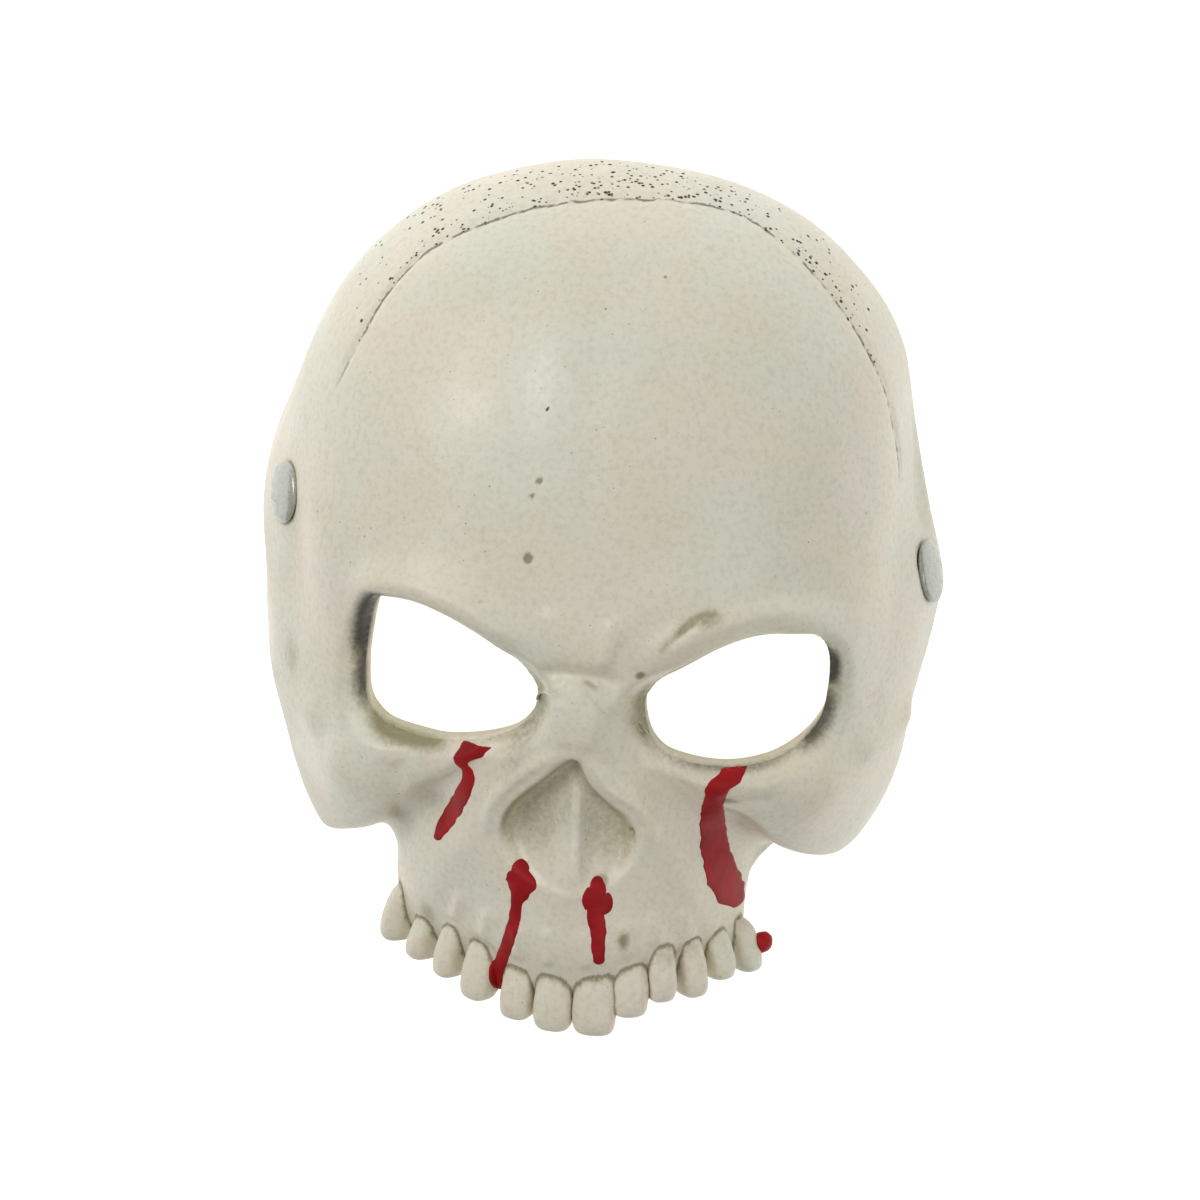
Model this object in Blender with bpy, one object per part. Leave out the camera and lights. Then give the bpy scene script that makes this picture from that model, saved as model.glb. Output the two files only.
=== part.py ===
"""Skull half mask: a moulded foam shell with cast teeth, worn over the brow and cheeks,
and the two-part rivet at each temple that a head strap is fastened with.

Run with: blender --background --python part.py

The mask lies on its rim, as it does on a table. X runs across the face, Y towards the crown and
Z out of the face. The tables are in millimetres from the plane between the eyes, and the meshes
are in metres from the point under the middle of the whole mask.
"""

from typing import NamedTuple

import bmesh
import bpy
import numpy as np

MM = 0.001

# Driving dimensions of the shell, in millimetres.
BROW_HEIGHT = 84.0  # from the table up to the middle of the brow
WALL = 6.0  # foam wall
MIDDLE = (0.0, -8.0)  # between the brows, where the rays of the shell start
CENTRE = (-6.35, -0.48, 0.0)  # under the middle of the whole mask: the origin of the meshes
NOSE_DEPTH = 6.5  # how far the nose is sunk: it isn't cut through
INNER_CELLS = 20  # cells across the plain inner skin
FINER = 3  # cells of the outer skin to one of the inner skin
OUTER_CELLS = INNER_CELLS * FINER
RIM_STEPS = 12  # points between two rows of the rim table
TOOTH_DEPTH = 9.0  # from the front of a tooth to its back

# Driving dimensions of the two rivets.
RIVET_CAP = 8.6  # radius of the domed outer disc
RIVET_DOME = 1.8  # height of the dome over its edge
RIVET_FLANGE = 6.5  # radius of the disc on the inside of the wall
RIVET_FLANGE_THICKNESS = 1.4
RIVET_SHANK = 2.2  # radius
RIVET_GAP = 0.3  # between the rivet and the foam, and between its two pieces
RIVET_GRIP = 5.2  # foam held between the cap and the flange, which both sit in round seats
RIVET_SINK = 0.8  # how far the cap's seat is let into the skin


class RimPoint(NamedTuple):
    """One point of the trimmed outer edge."""

    x: float
    y: float
    z: float


class Wall(NamedTuple):
    """How the wall curves at one bearing round the face.

    A power of 2 is a plain ellipse and more is fuller. The tuck is the share of a quarter turn
    that the wall makes before its edge: 1 where it stands upright on the table.
    """

    bearing: float
    power: float
    tuck: float


class EyeEdge(NamedTuple):
    """One point of an eye opening as seen along Z, and how deep the socket is beside it."""

    x: float
    y: float
    recess: float


class Swell(NamedTuple):
    """A soft round or oval rise, or a hollow when the rise is negative."""

    x: float
    y: float
    half_width: float
    half_height: float
    turn: float
    rise: float


class Fold(NamedTuple):
    """A ridge along a path, or a crease when the rise is negative."""

    path: tuple
    half_width: float
    rise: float


class Tooth(NamedTuple):
    """One tooth: its middle, its size and the way it faces round the jaw, in degrees."""

    x: float
    y: float
    z: float
    width: float
    height: float
    facing: float


RIM = (
    RimPoint(0.0, 111.0, 0.0),
    RimPoint(-21.0, 110.0, 0.0),
    RimPoint(-46.0, 102.5, 0.0),
    RimPoint(-65.0, 90.0, 0.0),
    RimPoint(-80.5, 72.3, 0.0),
    RimPoint(-93.5, 43.0, 0.0),
    RimPoint(-100.4, 20.0, 0.0),
    RimPoint(-99.8, -10.0, 0.0),
    RimPoint(-98.0, -35.0, 0.0),
    RimPoint(-92.5, -57.0, 0.0),
    RimPoint(-87.0, -72.5, 0.0),
    RimPoint(-81.3, -81.6, 0.0),
    RimPoint(-74.4, -81.1, 5.0),
    RimPoint(-63.1, -75.0, 20.4),
    RimPoint(-55.8, -76.3, 34.0),
    RimPoint(-53.9, -86.6, 41.0),
    RimPoint(-50.5, -96.6, 45.4),
    RimPoint(-41.3, -100.4, 52.4),
    RimPoint(-30.9, -101.6, 61.4),
    RimPoint(-19.8, -104.4, 70.4),
    RimPoint(-5.1, -105.9, 76.6),
    RimPoint(6.2, -105.4, 77.6),
    RimPoint(18.1, -100.2, 74.1),
    RimPoint(28.1, -98.1, 66.4),
    RimPoint(36.1, -97.0, 56.4),
    RimPoint(42.4, -95.2, 48.1),
    RimPoint(42.8, -79.7, 39.6),
    RimPoint(45.4, -71.5, 32.0),
    RimPoint(53.9, -71.1, 21.0),
    RimPoint(61.1, -75.8, 6.0),
    RimPoint(68.0, -76.2, 0.0),
    RimPoint(75.0, -66.6, 0.0),
    RimPoint(80.5, -51.0, 0.0),
    RimPoint(83.0, -34.0, 0.0),
    RimPoint(87.5, -12.0, 0.0),
    RimPoint(88.8, 4.0, 0.0),
    RimPoint(84.5, 22.0, 0.0),
    RimPoint(79.0, 44.0, 0.0),
    RimPoint(74.0, 66.0, 0.0),
    RimPoint(64.6, 82.0, 0.0),
    RimPoint(47.5, 97.8, 0.0),
    RimPoint(25.0, 107.5, 0.0),
)

WALLS = (
    Wall(0.0, 2.15, 1.0),
    Wall(45.0, 2.3, 1.0),
    Wall(90.0, 2.2, 1.0),
    Wall(135.0, 2.2, 1.0),
    Wall(165.0, 2.1, 1.0),
    Wall(180.0, 1.95, 1.0),
    Wall(205.0, 1.9, 1.0),
    Wall(222.0, 2.0, 1.0),
    Wall(236.0, 2.0, 0.75),
    Wall(246.0, 2.2, 0.55),
    Wall(270.0, 2.4, 0.5),
    Wall(292.0, 2.2, 0.55),
    Wall(302.0, 2.0, 0.75),
    Wall(315.0, 2.1, 1.0),
)

# Both openings run from the inner corner over the top and back underneath.
EYE_LEFT = (
    EyeEdge(-11.6, -17.0, 8.0),
    EyeEdge(-13.2, -12.6, 5.0),
    EyeEdge(-16.7, -7.4, 1.5),
    EyeEdge(-22.9, -3.4, 1.0),
    EyeEdge(-29.3, 0.1, 1.0),
    EyeEdge(-36.8, 3.2, 1.0),
    EyeEdge(-41.9, 4.6, 1.0),
    EyeEdge(-48.9, 5.0, 1.5),
    EyeEdge(-55.1, 3.6, 3.0),
    EyeEdge(-58.0, -2.2, 6.0),
    EyeEdge(-60.0, -11.6, 8.0),
    EyeEdge(-60.8, -19.2, 8.0),
    EyeEdge(-60.4, -27.4, 7.0),
    EyeEdge(-57.6, -31.9, 5.0),
    EyeEdge(-52.2, -34.2, 3.5),
    EyeEdge(-40.3, -34.0, 3.0),
    EyeEdge(-31.7, -32.5, 3.0),
    EyeEdge(-22.8, -30.2, 3.5),
    EyeEdge(-16.4, -27.2, 5.0),
    EyeEdge(-12.6, -22.4, 7.0),
)
EYE_RIGHT = (
    EyeEdge(16.5, -18.5, 8.0),
    EyeEdge(18.2, -13.8, 5.0),
    EyeEdge(21.5, -9.5, 2.0),
    EyeEdge(27.6, -5.4, 1.0),
    EyeEdge(34.9, -1.0, 1.0),
    EyeEdge(41.5, 1.5, 1.0),
    EyeEdge(48.0, 2.4, 1.0),
    EyeEdge(54.5, 1.6, 1.5),
    EyeEdge(59.8, -0.6, 4.0),
    EyeEdge(62.2, -5.0, 7.0),
    EyeEdge(62.8, -12.0, 8.0),
    EyeEdge(62.0, -21.2, 8.0),
    EyeEdge(60.4, -26.4, 7.0),
    EyeEdge(56.2, -31.4, 4.5),
    EyeEdge(49.4, -34.6, 3.5),
    EyeEdge(42.0, -35.5, 3.0),
    EyeEdge(35.3, -35.0, 3.0),
    EyeEdge(28.0, -33.2, 3.0),
    EyeEdge(22.0, -30.6, 4.5),
    EyeEdge(18.0, -25.6, 7.0),
)
NOSE = (
    (0.0, -30.5),
    (5.0, -38.5),
    (11.0, -44.2),
    (15.0, -47.6),
    (17.0, -53.0),
    (16.5, -59.5),
    (13.0, -65.5),
    (6.0, -69.5),
    (0.0, -70.5),
    (-8.0, -69.5),
    (-15.0, -66.5),
    (-19.5, -61.5),
    (-20.5, -55.0),
    (-18.0, -47.5),
    (-9.5, -38.5),
)

SWELLS = (
    Swell(-36.0, 13.0, 20.0, 9.0, -16.0, 2.0),  # left brow
    Swell(33.0, 13.0, 21.0, 10.0, 24.0, 3.5),  # right brow
    Swell(1.0, 1.0, 12.0, 12.0, 0.0, 2.0),  # between the brows
    Swell(1.0, -21.0, 7.0, 13.0, 0.0, 4.0),  # bridge of the nose
    Swell(-64.0, -48.0, 13.0, 13.0, 20.0, 5.0),  # left cheekbone
    Swell(62.0, -44.0, 11.0, 12.0, -20.0, 5.0),  # right cheekbone
    Swell(-41.0, -54.0, 9.0, 9.0, 0.0, -3.5),  # hollow beside the nose, left
    Swell(42.0, -56.0, 9.0, 9.0, 0.0, -3.5),  # hollow beside the nose, right
    Swell(-87.0, 12.0, 9.0, 30.0, 8.0, -4.0),  # left temple
    Swell(82.0, 14.0, 8.0, 30.0, -6.0, -3.5),  # right temple
    Swell(1.0, -86.0, 30.0, 10.0, 0.0, 2.5),  # tooth-bearing bone
    Swell(-1.5, -58.0, 6.0, 15.0, 0.0, 3.5),  # swelling in the nose cavity
)

FOLDS = (
    Fold(((-8.0, -6.0), (-16.0, 0.0), (-28.0, 6.0), (-42.0, 10.0), (-56.0, 8.5), (-67.0, 3.0)),
         5.0, 3.0),  # left edge of the brow
    Fold(((12.0, -7.0), (22.0, -2.0), (34.0, 4.5), (46.0, 8.0), (58.0, 5.5), (68.0, -1.0)),
         5.0, 3.5),  # right edge of the brow
    Fold(((-12.0, -10.0), (0.0, -8.5), (13.0, -11.0)), 2.5, -2.5),  # root of the nose
    Fold(((68.0, -33.0, 52.0), (76.0, -36.0, 36.0), (80.6, -34.6, 22.0), (83.0, -27.0, 12.0)),
         4.5, 2.5),  # right cheek arch
    Fold(((-70.0, -38.0, 56.0), (-82.0, -36.0, 42.0), (-92.0, -28.0, 20.0)), 5.5, 2.0),
    Fold(((-34.0, -37.0), (-48.0, -40.0), (-51.0, -52.0), (-50.0, -66.0)), 2.5, -2.0),
    Fold(((36.0, -42.0), (44.0, -44.5), (52.0, -43.0)), 2.5, -1.5),
    Fold(((0.0, -34.0), (1.0, -52.0), (1.5, -72.0)), 2.5, 1.5),  # septum
)

TEETH = (
    Tooth(-52.8, -93.1, 46.4, 7.5, 16.8, -64.0),
    Tooth(-43.9, -95.8, 54.7, 7.5, 14.1, -55.0),
    Tooth(-34.9, -95.6, 62.7, 7.5, 16.8, -46.0),
    Tooth(-25.6, -97.3, 69.8, 9.2, 19.0, -36.0),
    Tooth(-14.0, -99.4, 75.3, 8.9, 19.0, -21.0),
    Tooth(-3.8, -99.7, 78.5, 10.4, 20.6, -7.0),
    Tooth(7.3, -99.1, 79.5, 11.4, 21.3, 5.0),
    Tooth(16.3, -95.5, 77.2, 9.6, 18.1, 19.0),
    Tooth(24.0, -91.6, 73.6, 7.9, 18.6, 33.0),
    Tooth(31.4, -92.8, 67.1, 7.5, 17.5, 43.0),
    Tooth(37.9, -91.7, 59.5, 7.5, 14.3, 51.0),
    Tooth(44.3, -92.5, 50.9, 7.5, 13.9, 58.0),
)

# Rivets: about where the middle of each one is. Each is seated on the nearest place of the skin.
RIVETS = {"left": (-88.5, 20.0, 35.0), "right": (86.5, 6.0, 11.5)}


def smooth(t):
    """0 below 0, 1 above 1 and a soft step between."""
    t = np.clip(t, 0.0, 1.0)
    return t * t * (3.0 - 2.0 * t)


def curve_through(points, steps, closed=True):
    """Points of a smooth curve (Catmull-Rom) through the given ones."""
    p = np.array(points, float)
    if closed:
        before, after, far = np.roll(p, 1, 0), np.roll(p, -1, 0), np.roll(p, -2, 0)
    else:
        before, far = np.vstack([p[:1], p[:-2]]), np.vstack([p[2:], p[-1:]])
        after, p = p[1:], p[:-1]
    t = (np.arange(steps) / steps)[None, :, None]
    a, b, c, d = (q[:, None, :] for q in (before, p, after, far))
    curve = b + 0.5 * t * (
        c - a + t * (2 * a - 5 * b + 4 * c - d + t * (3 * b - a - 3 * c + d))
    )
    curve = curve.reshape(-1, p.shape[1])
    return curve if closed else np.vstack([curve, far[-1:]])


def distance_to(points, path, closed=False):
    """Distance to a path, and how far along it, from 0 to 1, the nearest point lies."""
    p = np.array(path, float)
    if closed:
        p = np.vstack([p, p[:1]])
    lengths = np.linalg.norm(np.diff(p, axis=0), axis=1)
    starts = np.concatenate([[0.0], np.cumsum(lengths)])
    best = np.full(points.shape[:-1], np.inf)
    along = np.zeros(points.shape[:-1])
    for here, there, length, start in zip(p[:-1], p[1:], lengths, starts):
        t = np.clip((points - here) @ (there - here) / length**2, 0.0, 1.0)
        d = np.linalg.norm(points - here - t[..., None] * (there - here), axis=-1)
        along = np.where(d < best, (start + t * length) / starts[-1], along)
        best = np.minimum(d, best)
    return best, along


def outside_by(points, outline):
    """Signed distance in plan to a closed outline: positive outside it."""
    p = curve_through(outline, 6)[:, :2]
    x, y = points[..., 0], points[..., 1]
    odd = np.zeros(x.shape, bool)
    for (x0, y0), (x1, y1) in zip(p, np.roll(p, -1, 0)):
        crosses = (y0 > y) != (y1 > y)
        odd ^= crosses & (x < x0 + (y - y0) * (x1 - x0) / (y1 - y0 if y1 != y0 else 1e-9))
    d, _ = distance_to(points[..., :2], p, closed=True)
    return np.where(odd, -d, d)


def normals_of(points):
    """Unit normals of a square grid of points, facing out of the face."""
    across = np.gradient(points, axis=1)
    up = np.gradient(points, axis=0)
    n = np.cross(across, up)
    return n / np.maximum(np.linalg.norm(n, axis=2, keepdims=True), 1e-9)


def spaced(cells, middle, spread, crowding):
    """Grid lines from -1 to 1 that stand closer together round one place."""
    fine = np.linspace(-1.0, 1.0, 801)
    density = 1.0 + crowding * np.exp(-(((fine - middle) / spread) ** 2))
    share = np.concatenate([[0.0], np.cumsum((density[1:] + density[:-1]) / 2.0)])
    return np.interp(np.linspace(0.0, share[-1], cells + 1), share, fine)


def grid(cells):
    """The two square coordinates of each corner of the cells, closest together in the face."""
    return np.meshgrid(spaced(cells, 0.0, 0.55, 1.0), spaced(cells, -0.15, 0.4, 1.8))


def plain_shell(u, v):
    """The smooth form of the mask: an elliptical dome brought down to its rim."""
    a = u * np.sqrt(1.0 - v * v / 2.0)
    b = v * np.sqrt(1.0 - u * u / 2.0)
    out = np.clip(np.hypot(a, b), 0.0, 1.0)
    turn = (np.arctan2(b, a) / (2.0 * np.pi) - 0.25) % 1.0

    rim = curve_through(RIM, RIM_STEPS)
    rim[:, 2] = np.maximum(rim[:, 2], 0.0)
    steps = np.linalg.norm(np.diff(np.vstack([rim, rim[:1]]), axis=0), axis=1)
    share = np.concatenate([[0.0], np.cumsum(steps)])[:-1] / steps.sum()
    x, y, z = (np.interp(turn, share, rim[:, i], period=1.0) for i in range(3))

    bearing = np.degrees(np.arctan2(y - MIDDLE[1], x - MIDDLE[0])) % 360.0
    rows = np.array(WALLS)
    power = 2.0 / np.interp(bearing, rows[:, 0], rows[:, 1], period=360.0)
    full = np.interp(bearing, rows[:, 0], rows[:, 2], period=360.0) * np.pi / 2.0
    angle = out**1.15 * full
    reach = (np.sin(angle) / np.sin(full)) ** power
    last = np.cos(full) ** power
    height = (np.cos(angle) ** power - last) / (1.0 - last)
    return np.stack(
        [
            MIDDLE[0] + reach * (x - MIDDLE[0]),
            MIDDLE[1] + reach * (y - MIDDLE[1]),
            z + (BROW_HEIGHT - z) * height,
        ],
        axis=2,
    )


def rise_at(points):
    """How far the modelled features stand out of the smooth form at each of its points."""
    plan = points[..., :2]
    x, y = plan[..., 0], plan[..., 1]
    rise = np.zeros(x.shape)
    for s in SWELLS:
        c, d = np.cos(np.radians(s.turn)), np.sin(np.radians(s.turn))
        along = ((x - s.x) * c + (y - s.y) * d) / s.half_width
        over = ((y - s.y) * c - (x - s.x) * d) / s.half_height
        rise += s.rise * np.exp(-(along**2) - over**2)
    for f in FOLDS:
        path = curve_through(f.path, 6, closed=False)
        d, along = distance_to(points[..., : path.shape[1]], path)
        taper = smooth(along * 4.0) * smooth((1.0 - along) * 4.0)
        rise += f.rise * np.exp(-((d / f.half_width) ** 2)) * taper
    for outline in (EYE_LEFT, EYE_RIGHT):
        edge = curve_through(outline, 6)
        _, along = distance_to(plan, edge[:, :2], closed=True)
        recess = np.interp(along * len(edge), np.arange(len(edge)), edge[:, 2], period=len(edge))
        spread = 2.5 + 0.6 * recess
        rise -= recess * (1.0 - smooth(outside_by(points, outline) / spread))
    into_nose = -outside_by(points, NOSE)
    rise -= NOSE_DEPTH * smooth(into_nose / 3.5) * smooth((y + 72.0) / 30.0)
    return rise


def away_from_rim(u, v):
    """0 on the rim and 1 a little way in from it."""
    return smooth((1.0 - np.maximum(np.abs(u), np.abs(v))) * 12.0)


def evened(values):
    """The values of a square grid, each drawn halfway to the mean of its four neighbours."""
    out = values.copy()
    out[1:-1, 1:-1] = 0.5 * values[1:-1, 1:-1] + 0.125 * (
        values[:-2, 1:-1] + values[2:, 1:-1] + values[1:-1, :-2] + values[1:-1, 2:]
    )
    return out


def skins():
    """The outer skin with the features raised on it, and the plain inner skin behind it.

    The inner skin keeps the wall's thickness from the deepest place near each of its points.
    """
    u, v = grid(OUTER_CELLS)
    plain = plain_shell(u, v)
    out = normals_of(plain)
    out[0], out[-1], out[:, 0], out[:, -1] = out[2], out[-3], out[:, 2], out[:, -3]
    rise = evened(evened(rise_at(plain) * away_from_rim(u, v)))
    outer = plain + rise[..., None] * out

    deepest = np.minimum(rise, 0.0)
    for step in (1, -1, 1, -1):
        for axis in (0, 1):
            deepest = np.minimum(deepest, np.roll(deepest, step, axis))
    inner = evened((plain + (deepest - WALL)[..., None] * out)[::FINER, ::FINER])
    upright = plain[::FINER, ::FINER, 2] < 0.5
    inner[..., 2] = np.where(upright, 0.0, np.maximum(inner[..., 2], 0.0))
    return outer, inner


def material(name, colour, roughness):
    """A plain Principled material."""
    made = bpy.data.materials.new(name)
    made.use_nodes = True
    shader = made.node_tree.nodes["Principled BSDF"]
    shader.inputs["Base Color"].default_value = (*colour, 1.0)
    shader.inputs["Roughness"].default_value = roughness
    return made


def add_mesh(name, points_mm, faces, look):
    """A mesh object from points in millimetres, with its normals facing out."""
    mesh = bpy.data.meshes.new(name)
    mesh.from_pydata([tuple(p) for p in (np.asarray(points_mm) - CENTRE) * MM], [], faces)
    model = bmesh.new()
    model.from_mesh(mesh)
    bmesh.ops.recalc_face_normals(model, faces=model.faces)
    model.to_mesh(mesh)
    model.free()
    obj = bpy.data.objects.new(name, mesh)
    bpy.context.scene.collection.objects.link(obj)
    mesh.materials.append(look)
    return obj


def ring_of(cells, first):
    """Indices of the corners round the edge of a square grid, anticlockwise."""
    n = cells + 1
    south = [first + i for i in range(cells)]
    east = [first + cells + n * i for i in range(cells)]
    north = [first + n * cells + cells - i for i in range(cells)]
    west = [first + n * (cells - i) for i in range(cells)]
    return south + east + north + west


def grid_faces(cells, points, first):
    """Two triangles for each cell, cut along its shorter diagonal."""
    n = cells + 1
    faces = []
    for row in range(cells):
        for col in range(cells):
            a, b = row * n + col, row * n + col + 1
            d, c = a + n, b + n
            across = np.linalg.norm(points[a] - points[c]) <= np.linalg.norm(points[b] - points[d])
            corners = ((a, b, c), (a, c, d)) if across else ((a, b, d), (b, c, d))
            faces += [tuple(first + i for i in triangle) for triangle in corners]
    return faces


def add_shell(look):
    """The foam shell as one closed solid, before its openings are cut."""
    outer, inner = (skin.reshape(-1, 3) for skin in skins())
    faces = grid_faces(OUTER_CELLS, outer, 0) + grid_faces(INNER_CELLS, inner, len(outer))
    outside = ring_of(OUTER_CELLS, 0)
    within = ring_of(INNER_CELLS, len(outer))
    for i, (a, b) in enumerate(zip(within, within[1:] + within[:1])):
        along = [outside[(FINER * i + k) % len(outside)] for k in range(FINER + 1)]
        halfway = FINER // 2
        faces += [(a, q, p) for p, q in zip(along[:halfway], along[1 : halfway + 1])]
        faces.append((a, b, along[halfway]))
        faces += [(b, q, p) for p, q in zip(along[halfway:], along[halfway + 1 :])]
    return add_mesh("skull_shell", np.vstack([outer, inner]), faces, look)


def superquadric(width, height, depth, rings=6, sides=10, squareness=2.6):
    """Points and faces of a rounded block, its long axis along Y."""
    lat = np.linspace(-np.pi / 2, np.pi / 2, rings + 2)[1:-1]
    lon = np.arange(sides) * 2 * np.pi / sides

    def power(value):
        return np.sign(value) * np.abs(value) ** (2.0 / squareness)

    points = [(0.0, -height / 2, 0.0)]
    for a in lat:
        for o in lon:
            points.append(
                (
                    width / 2 * power(np.cos(a)) * power(np.cos(o)),
                    height / 2 * power(np.sin(a)),
                    depth / 2 * power(np.cos(a)) * power(np.sin(o)),
                )
            )
    points.append((0.0, height / 2, 0.0))
    faces = []
    for s in range(sides):
        t = (s + 1) % sides
        faces.append((0, 1 + s, 1 + t))
        for r in range(rings - 1):
            a = 1 + r * sides
            faces.append((a + s, a + sides + s, a + sides + t, a + t))
        last = 1 + (rings - 1) * sides
        faces.append((last + s, len(points) - 1, last + t))
    return np.array(points), faces


def turned_about_y(points, degrees):
    c, s = np.cos(np.radians(degrees)), np.sin(np.radians(degrees))
    x, y, z = points.T
    return np.stack([x * c + z * s, y, z * c - x * s], axis=1)


def add_tooth(number, tooth, look):
    points, faces = superquadric(tooth.width, tooth.height, TOOTH_DEPTH)
    points = turned_about_y(points, tooth.facing) + (tooth.x, tooth.y, tooth.z)
    return add_mesh(f"tooth_{number}", points, faces, look)


def boolean(target, tool, operation):
    """Joins or cuts a tool with the exact solver, and hides the tool."""
    cut = target.modifiers.new(tool.name, "BOOLEAN")
    cut.operation = operation
    cut.solver = "EXACT"
    cut.object = tool
    tool.hide_render = True
    tool.display_type = "WIRE"


def add_opening(name, outline, bottom, top, look):
    """A straight cutter through the face, its outline as seen along Z."""
    p = curve_through(outline, 3)[:, :2]
    n = len(p)
    points = [(x, y, z) for z in (bottom, top) for x, y in p]
    faces = [tuple(range(n))[::-1], tuple(range(n, 2 * n))]
    faces += [(i, (i + 1) % n, n + (i + 1) % n, n + i) for i in range(n)]
    return add_mesh(name, points, faces, look)


def lathe(name, profile, middle, outward, look, sides=20):
    """A closed turned piece: rows of (radius, height) from axis to axis, along a direction."""
    w = np.array(outward, float)
    w /= np.linalg.norm(w)
    side = np.cross((0.0, 1.0, 0.0), w)
    side /= np.linalg.norm(side)
    up = np.cross(w, side)
    points = [middle + profile[0][1] * w]
    for radius, height in profile[1:-1]:
        for i in range(sides):
            a = 2 * np.pi * i / sides
            points.append(middle + height * w + radius * (np.cos(a) * side + np.sin(a) * up))
    points.append(middle + profile[-1][1] * w)
    rings = len(profile) - 2
    faces = []
    for s in range(sides):
        t = (s + 1) % sides
        faces.append((0, 1 + t, 1 + s))
        for r in range(rings - 1):
            a = 1 + r * sides
            faces.append((a + s, a + t, a + sides + t, a + sides + s))
        last = 1 + (rings - 1) * sides
        faces.append((last + s, last + t, len(points) - 1))
    return add_mesh(name, points, faces, look)


def place_rivet(seat):
    """Where a rivet's cap sits: the nearest point of the outer skin, and the way out there."""
    outer, _ = skins()
    nearest = np.argmin(np.linalg.norm(outer - seat, axis=2))
    row, col = np.unravel_index(nearest, outer.shape[:2])
    out = normals_of(outer)[row, col]
    return outer[row, col] - RIVET_SINK * out, out


def add_rivet(side, look, shell):
    """The domed cap outside, and the shank with its flange through the wall."""
    seat, out = place_rivet(np.array(RIVETS[side]))
    edge = RIVET_GAP + 0.8
    cap = [(0.0, RIVET_GAP), (RIVET_CAP, RIVET_GAP), (RIVET_CAP, edge)]
    for i in range(1, 5):
        a = i * np.pi / 10
        cap.append((RIVET_CAP * np.cos(a), edge + RIVET_DOME * np.sin(a)))
    cap.append((0.0, edge + RIVET_DOME))
    lathe(f"rivet_cap_{side}", cap, seat, out, look)
    back = -RIVET_GRIP - RIVET_GAP
    post = [
        (0.0, back - RIVET_FLANGE_THICKNESS),
        (RIVET_FLANGE, back - RIVET_FLANGE_THICKNESS),
        (RIVET_FLANGE, back),
        (RIVET_SHANK, back),
        (RIVET_SHANK, 0.0),
        (0.0, 0.0),
    ]
    lathe(f"rivet_post_{side}", post, seat, out, look)
    hole = RIVET_SHANK + RIVET_GAP
    seat_radius = RIVET_FLANGE + RIVET_GAP
    bore = [
        (0.0, -4 * WALL),
        (seat_radius, -4 * WALL),
        (seat_radius, -RIVET_GRIP),
        (hole, -RIVET_GRIP),
        (hole, 0.0),
        (RIVET_CAP + RIVET_GAP, 0.0),
        (RIVET_CAP + RIVET_GAP, 2 * WALL),
        (0.0, 2 * WALL),
    ]
    boolean(shell, lathe(f"bore_{side}", bore, seat, out, look), "DIFFERENCE")


def main():
    for obj in list(bpy.data.objects):
        bpy.data.objects.remove(obj, do_unlink=True)
    bone = material("painted_foam", (0.72, 0.68, 0.58), 0.55)
    metal = material("painted_rivet", (0.62, 0.63, 0.57), 0.45)
    shell = add_shell(bone)
    for number, tooth in enumerate(TEETH):
        boolean(shell, add_tooth(number, tooth, bone), "UNION")
    for name, outline in (("eye_left", EYE_LEFT), ("eye_right", EYE_RIGHT)):
        boolean(shell, add_opening(name, outline, 20.0, 120.0, bone), "DIFFERENCE")
    for side in RIVETS:
        add_rivet(side, metal, shell)


main()
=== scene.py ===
"""The looks of the skull half mask: its sculpted and painted foam shell, the rivet at each
temple, the pinholes over the crown and the runs of stage blood.

The form is worked out in the sculptor's own frame, in millimetres from a point on the table
under the brow, with X across the face, Y towards the crown and Z out of the face. Meshes are in
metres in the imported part's frame, where the mask lies face up on its rim.
"""

import logging
import math
from dataclasses import dataclass, field
from enum import Enum
from typing import NamedTuple

import bmesh
import bpy
import numpy as np
from mathutils import Matrix, Vector, noise
from mathutils.bvhtree import BVHTree

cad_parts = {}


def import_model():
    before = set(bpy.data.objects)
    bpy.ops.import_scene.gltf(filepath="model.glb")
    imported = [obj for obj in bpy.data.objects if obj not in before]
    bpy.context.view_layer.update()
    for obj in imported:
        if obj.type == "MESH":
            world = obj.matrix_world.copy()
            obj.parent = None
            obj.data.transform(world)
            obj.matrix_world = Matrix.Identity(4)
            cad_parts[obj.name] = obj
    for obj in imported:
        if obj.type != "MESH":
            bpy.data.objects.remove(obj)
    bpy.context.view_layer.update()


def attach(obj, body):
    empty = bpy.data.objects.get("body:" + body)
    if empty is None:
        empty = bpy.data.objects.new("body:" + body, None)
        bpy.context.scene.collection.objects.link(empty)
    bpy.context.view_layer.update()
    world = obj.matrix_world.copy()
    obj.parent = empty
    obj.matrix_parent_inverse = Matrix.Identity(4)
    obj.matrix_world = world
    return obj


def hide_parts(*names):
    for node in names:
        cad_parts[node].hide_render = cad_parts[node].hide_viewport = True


log = logging.getLogger("skull_mask")
Array = np.ndarray

MM = 0.001
CENTRE = (-6.35, -0.48, 0.0)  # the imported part's origin, in the sculptor's frame
BODY = "root"


class Slot(Enum):
    """The finishes that the record names."""

    FOAM = "painted_foam"
    RIVET = "painted_rivet"
    BLOOD = "blood_paint"


class Tone(Enum):
    """The paint that a small mark is filled with."""

    OLIVE = 0
    SOOT = 1
    BLACK = 2


class RimPoint(NamedTuple):
    """One point of the trimmed outer edge."""

    x: float
    y: float
    z: float


class Wall(NamedTuple):
    """How the wall curves at one bearing round the face."""

    bearing: float
    power: float
    tuck: float


class EyeEdge(NamedTuple):
    """One point of an eye opening, and how deep the socket is beside it."""

    x: float
    y: float
    recess: float


class Swell(NamedTuple):
    """A soft round or oval rise, or a hollow when the rise is negative."""

    x: float
    y: float
    half_width: float
    half_height: float
    turn: float
    rise: float


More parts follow.
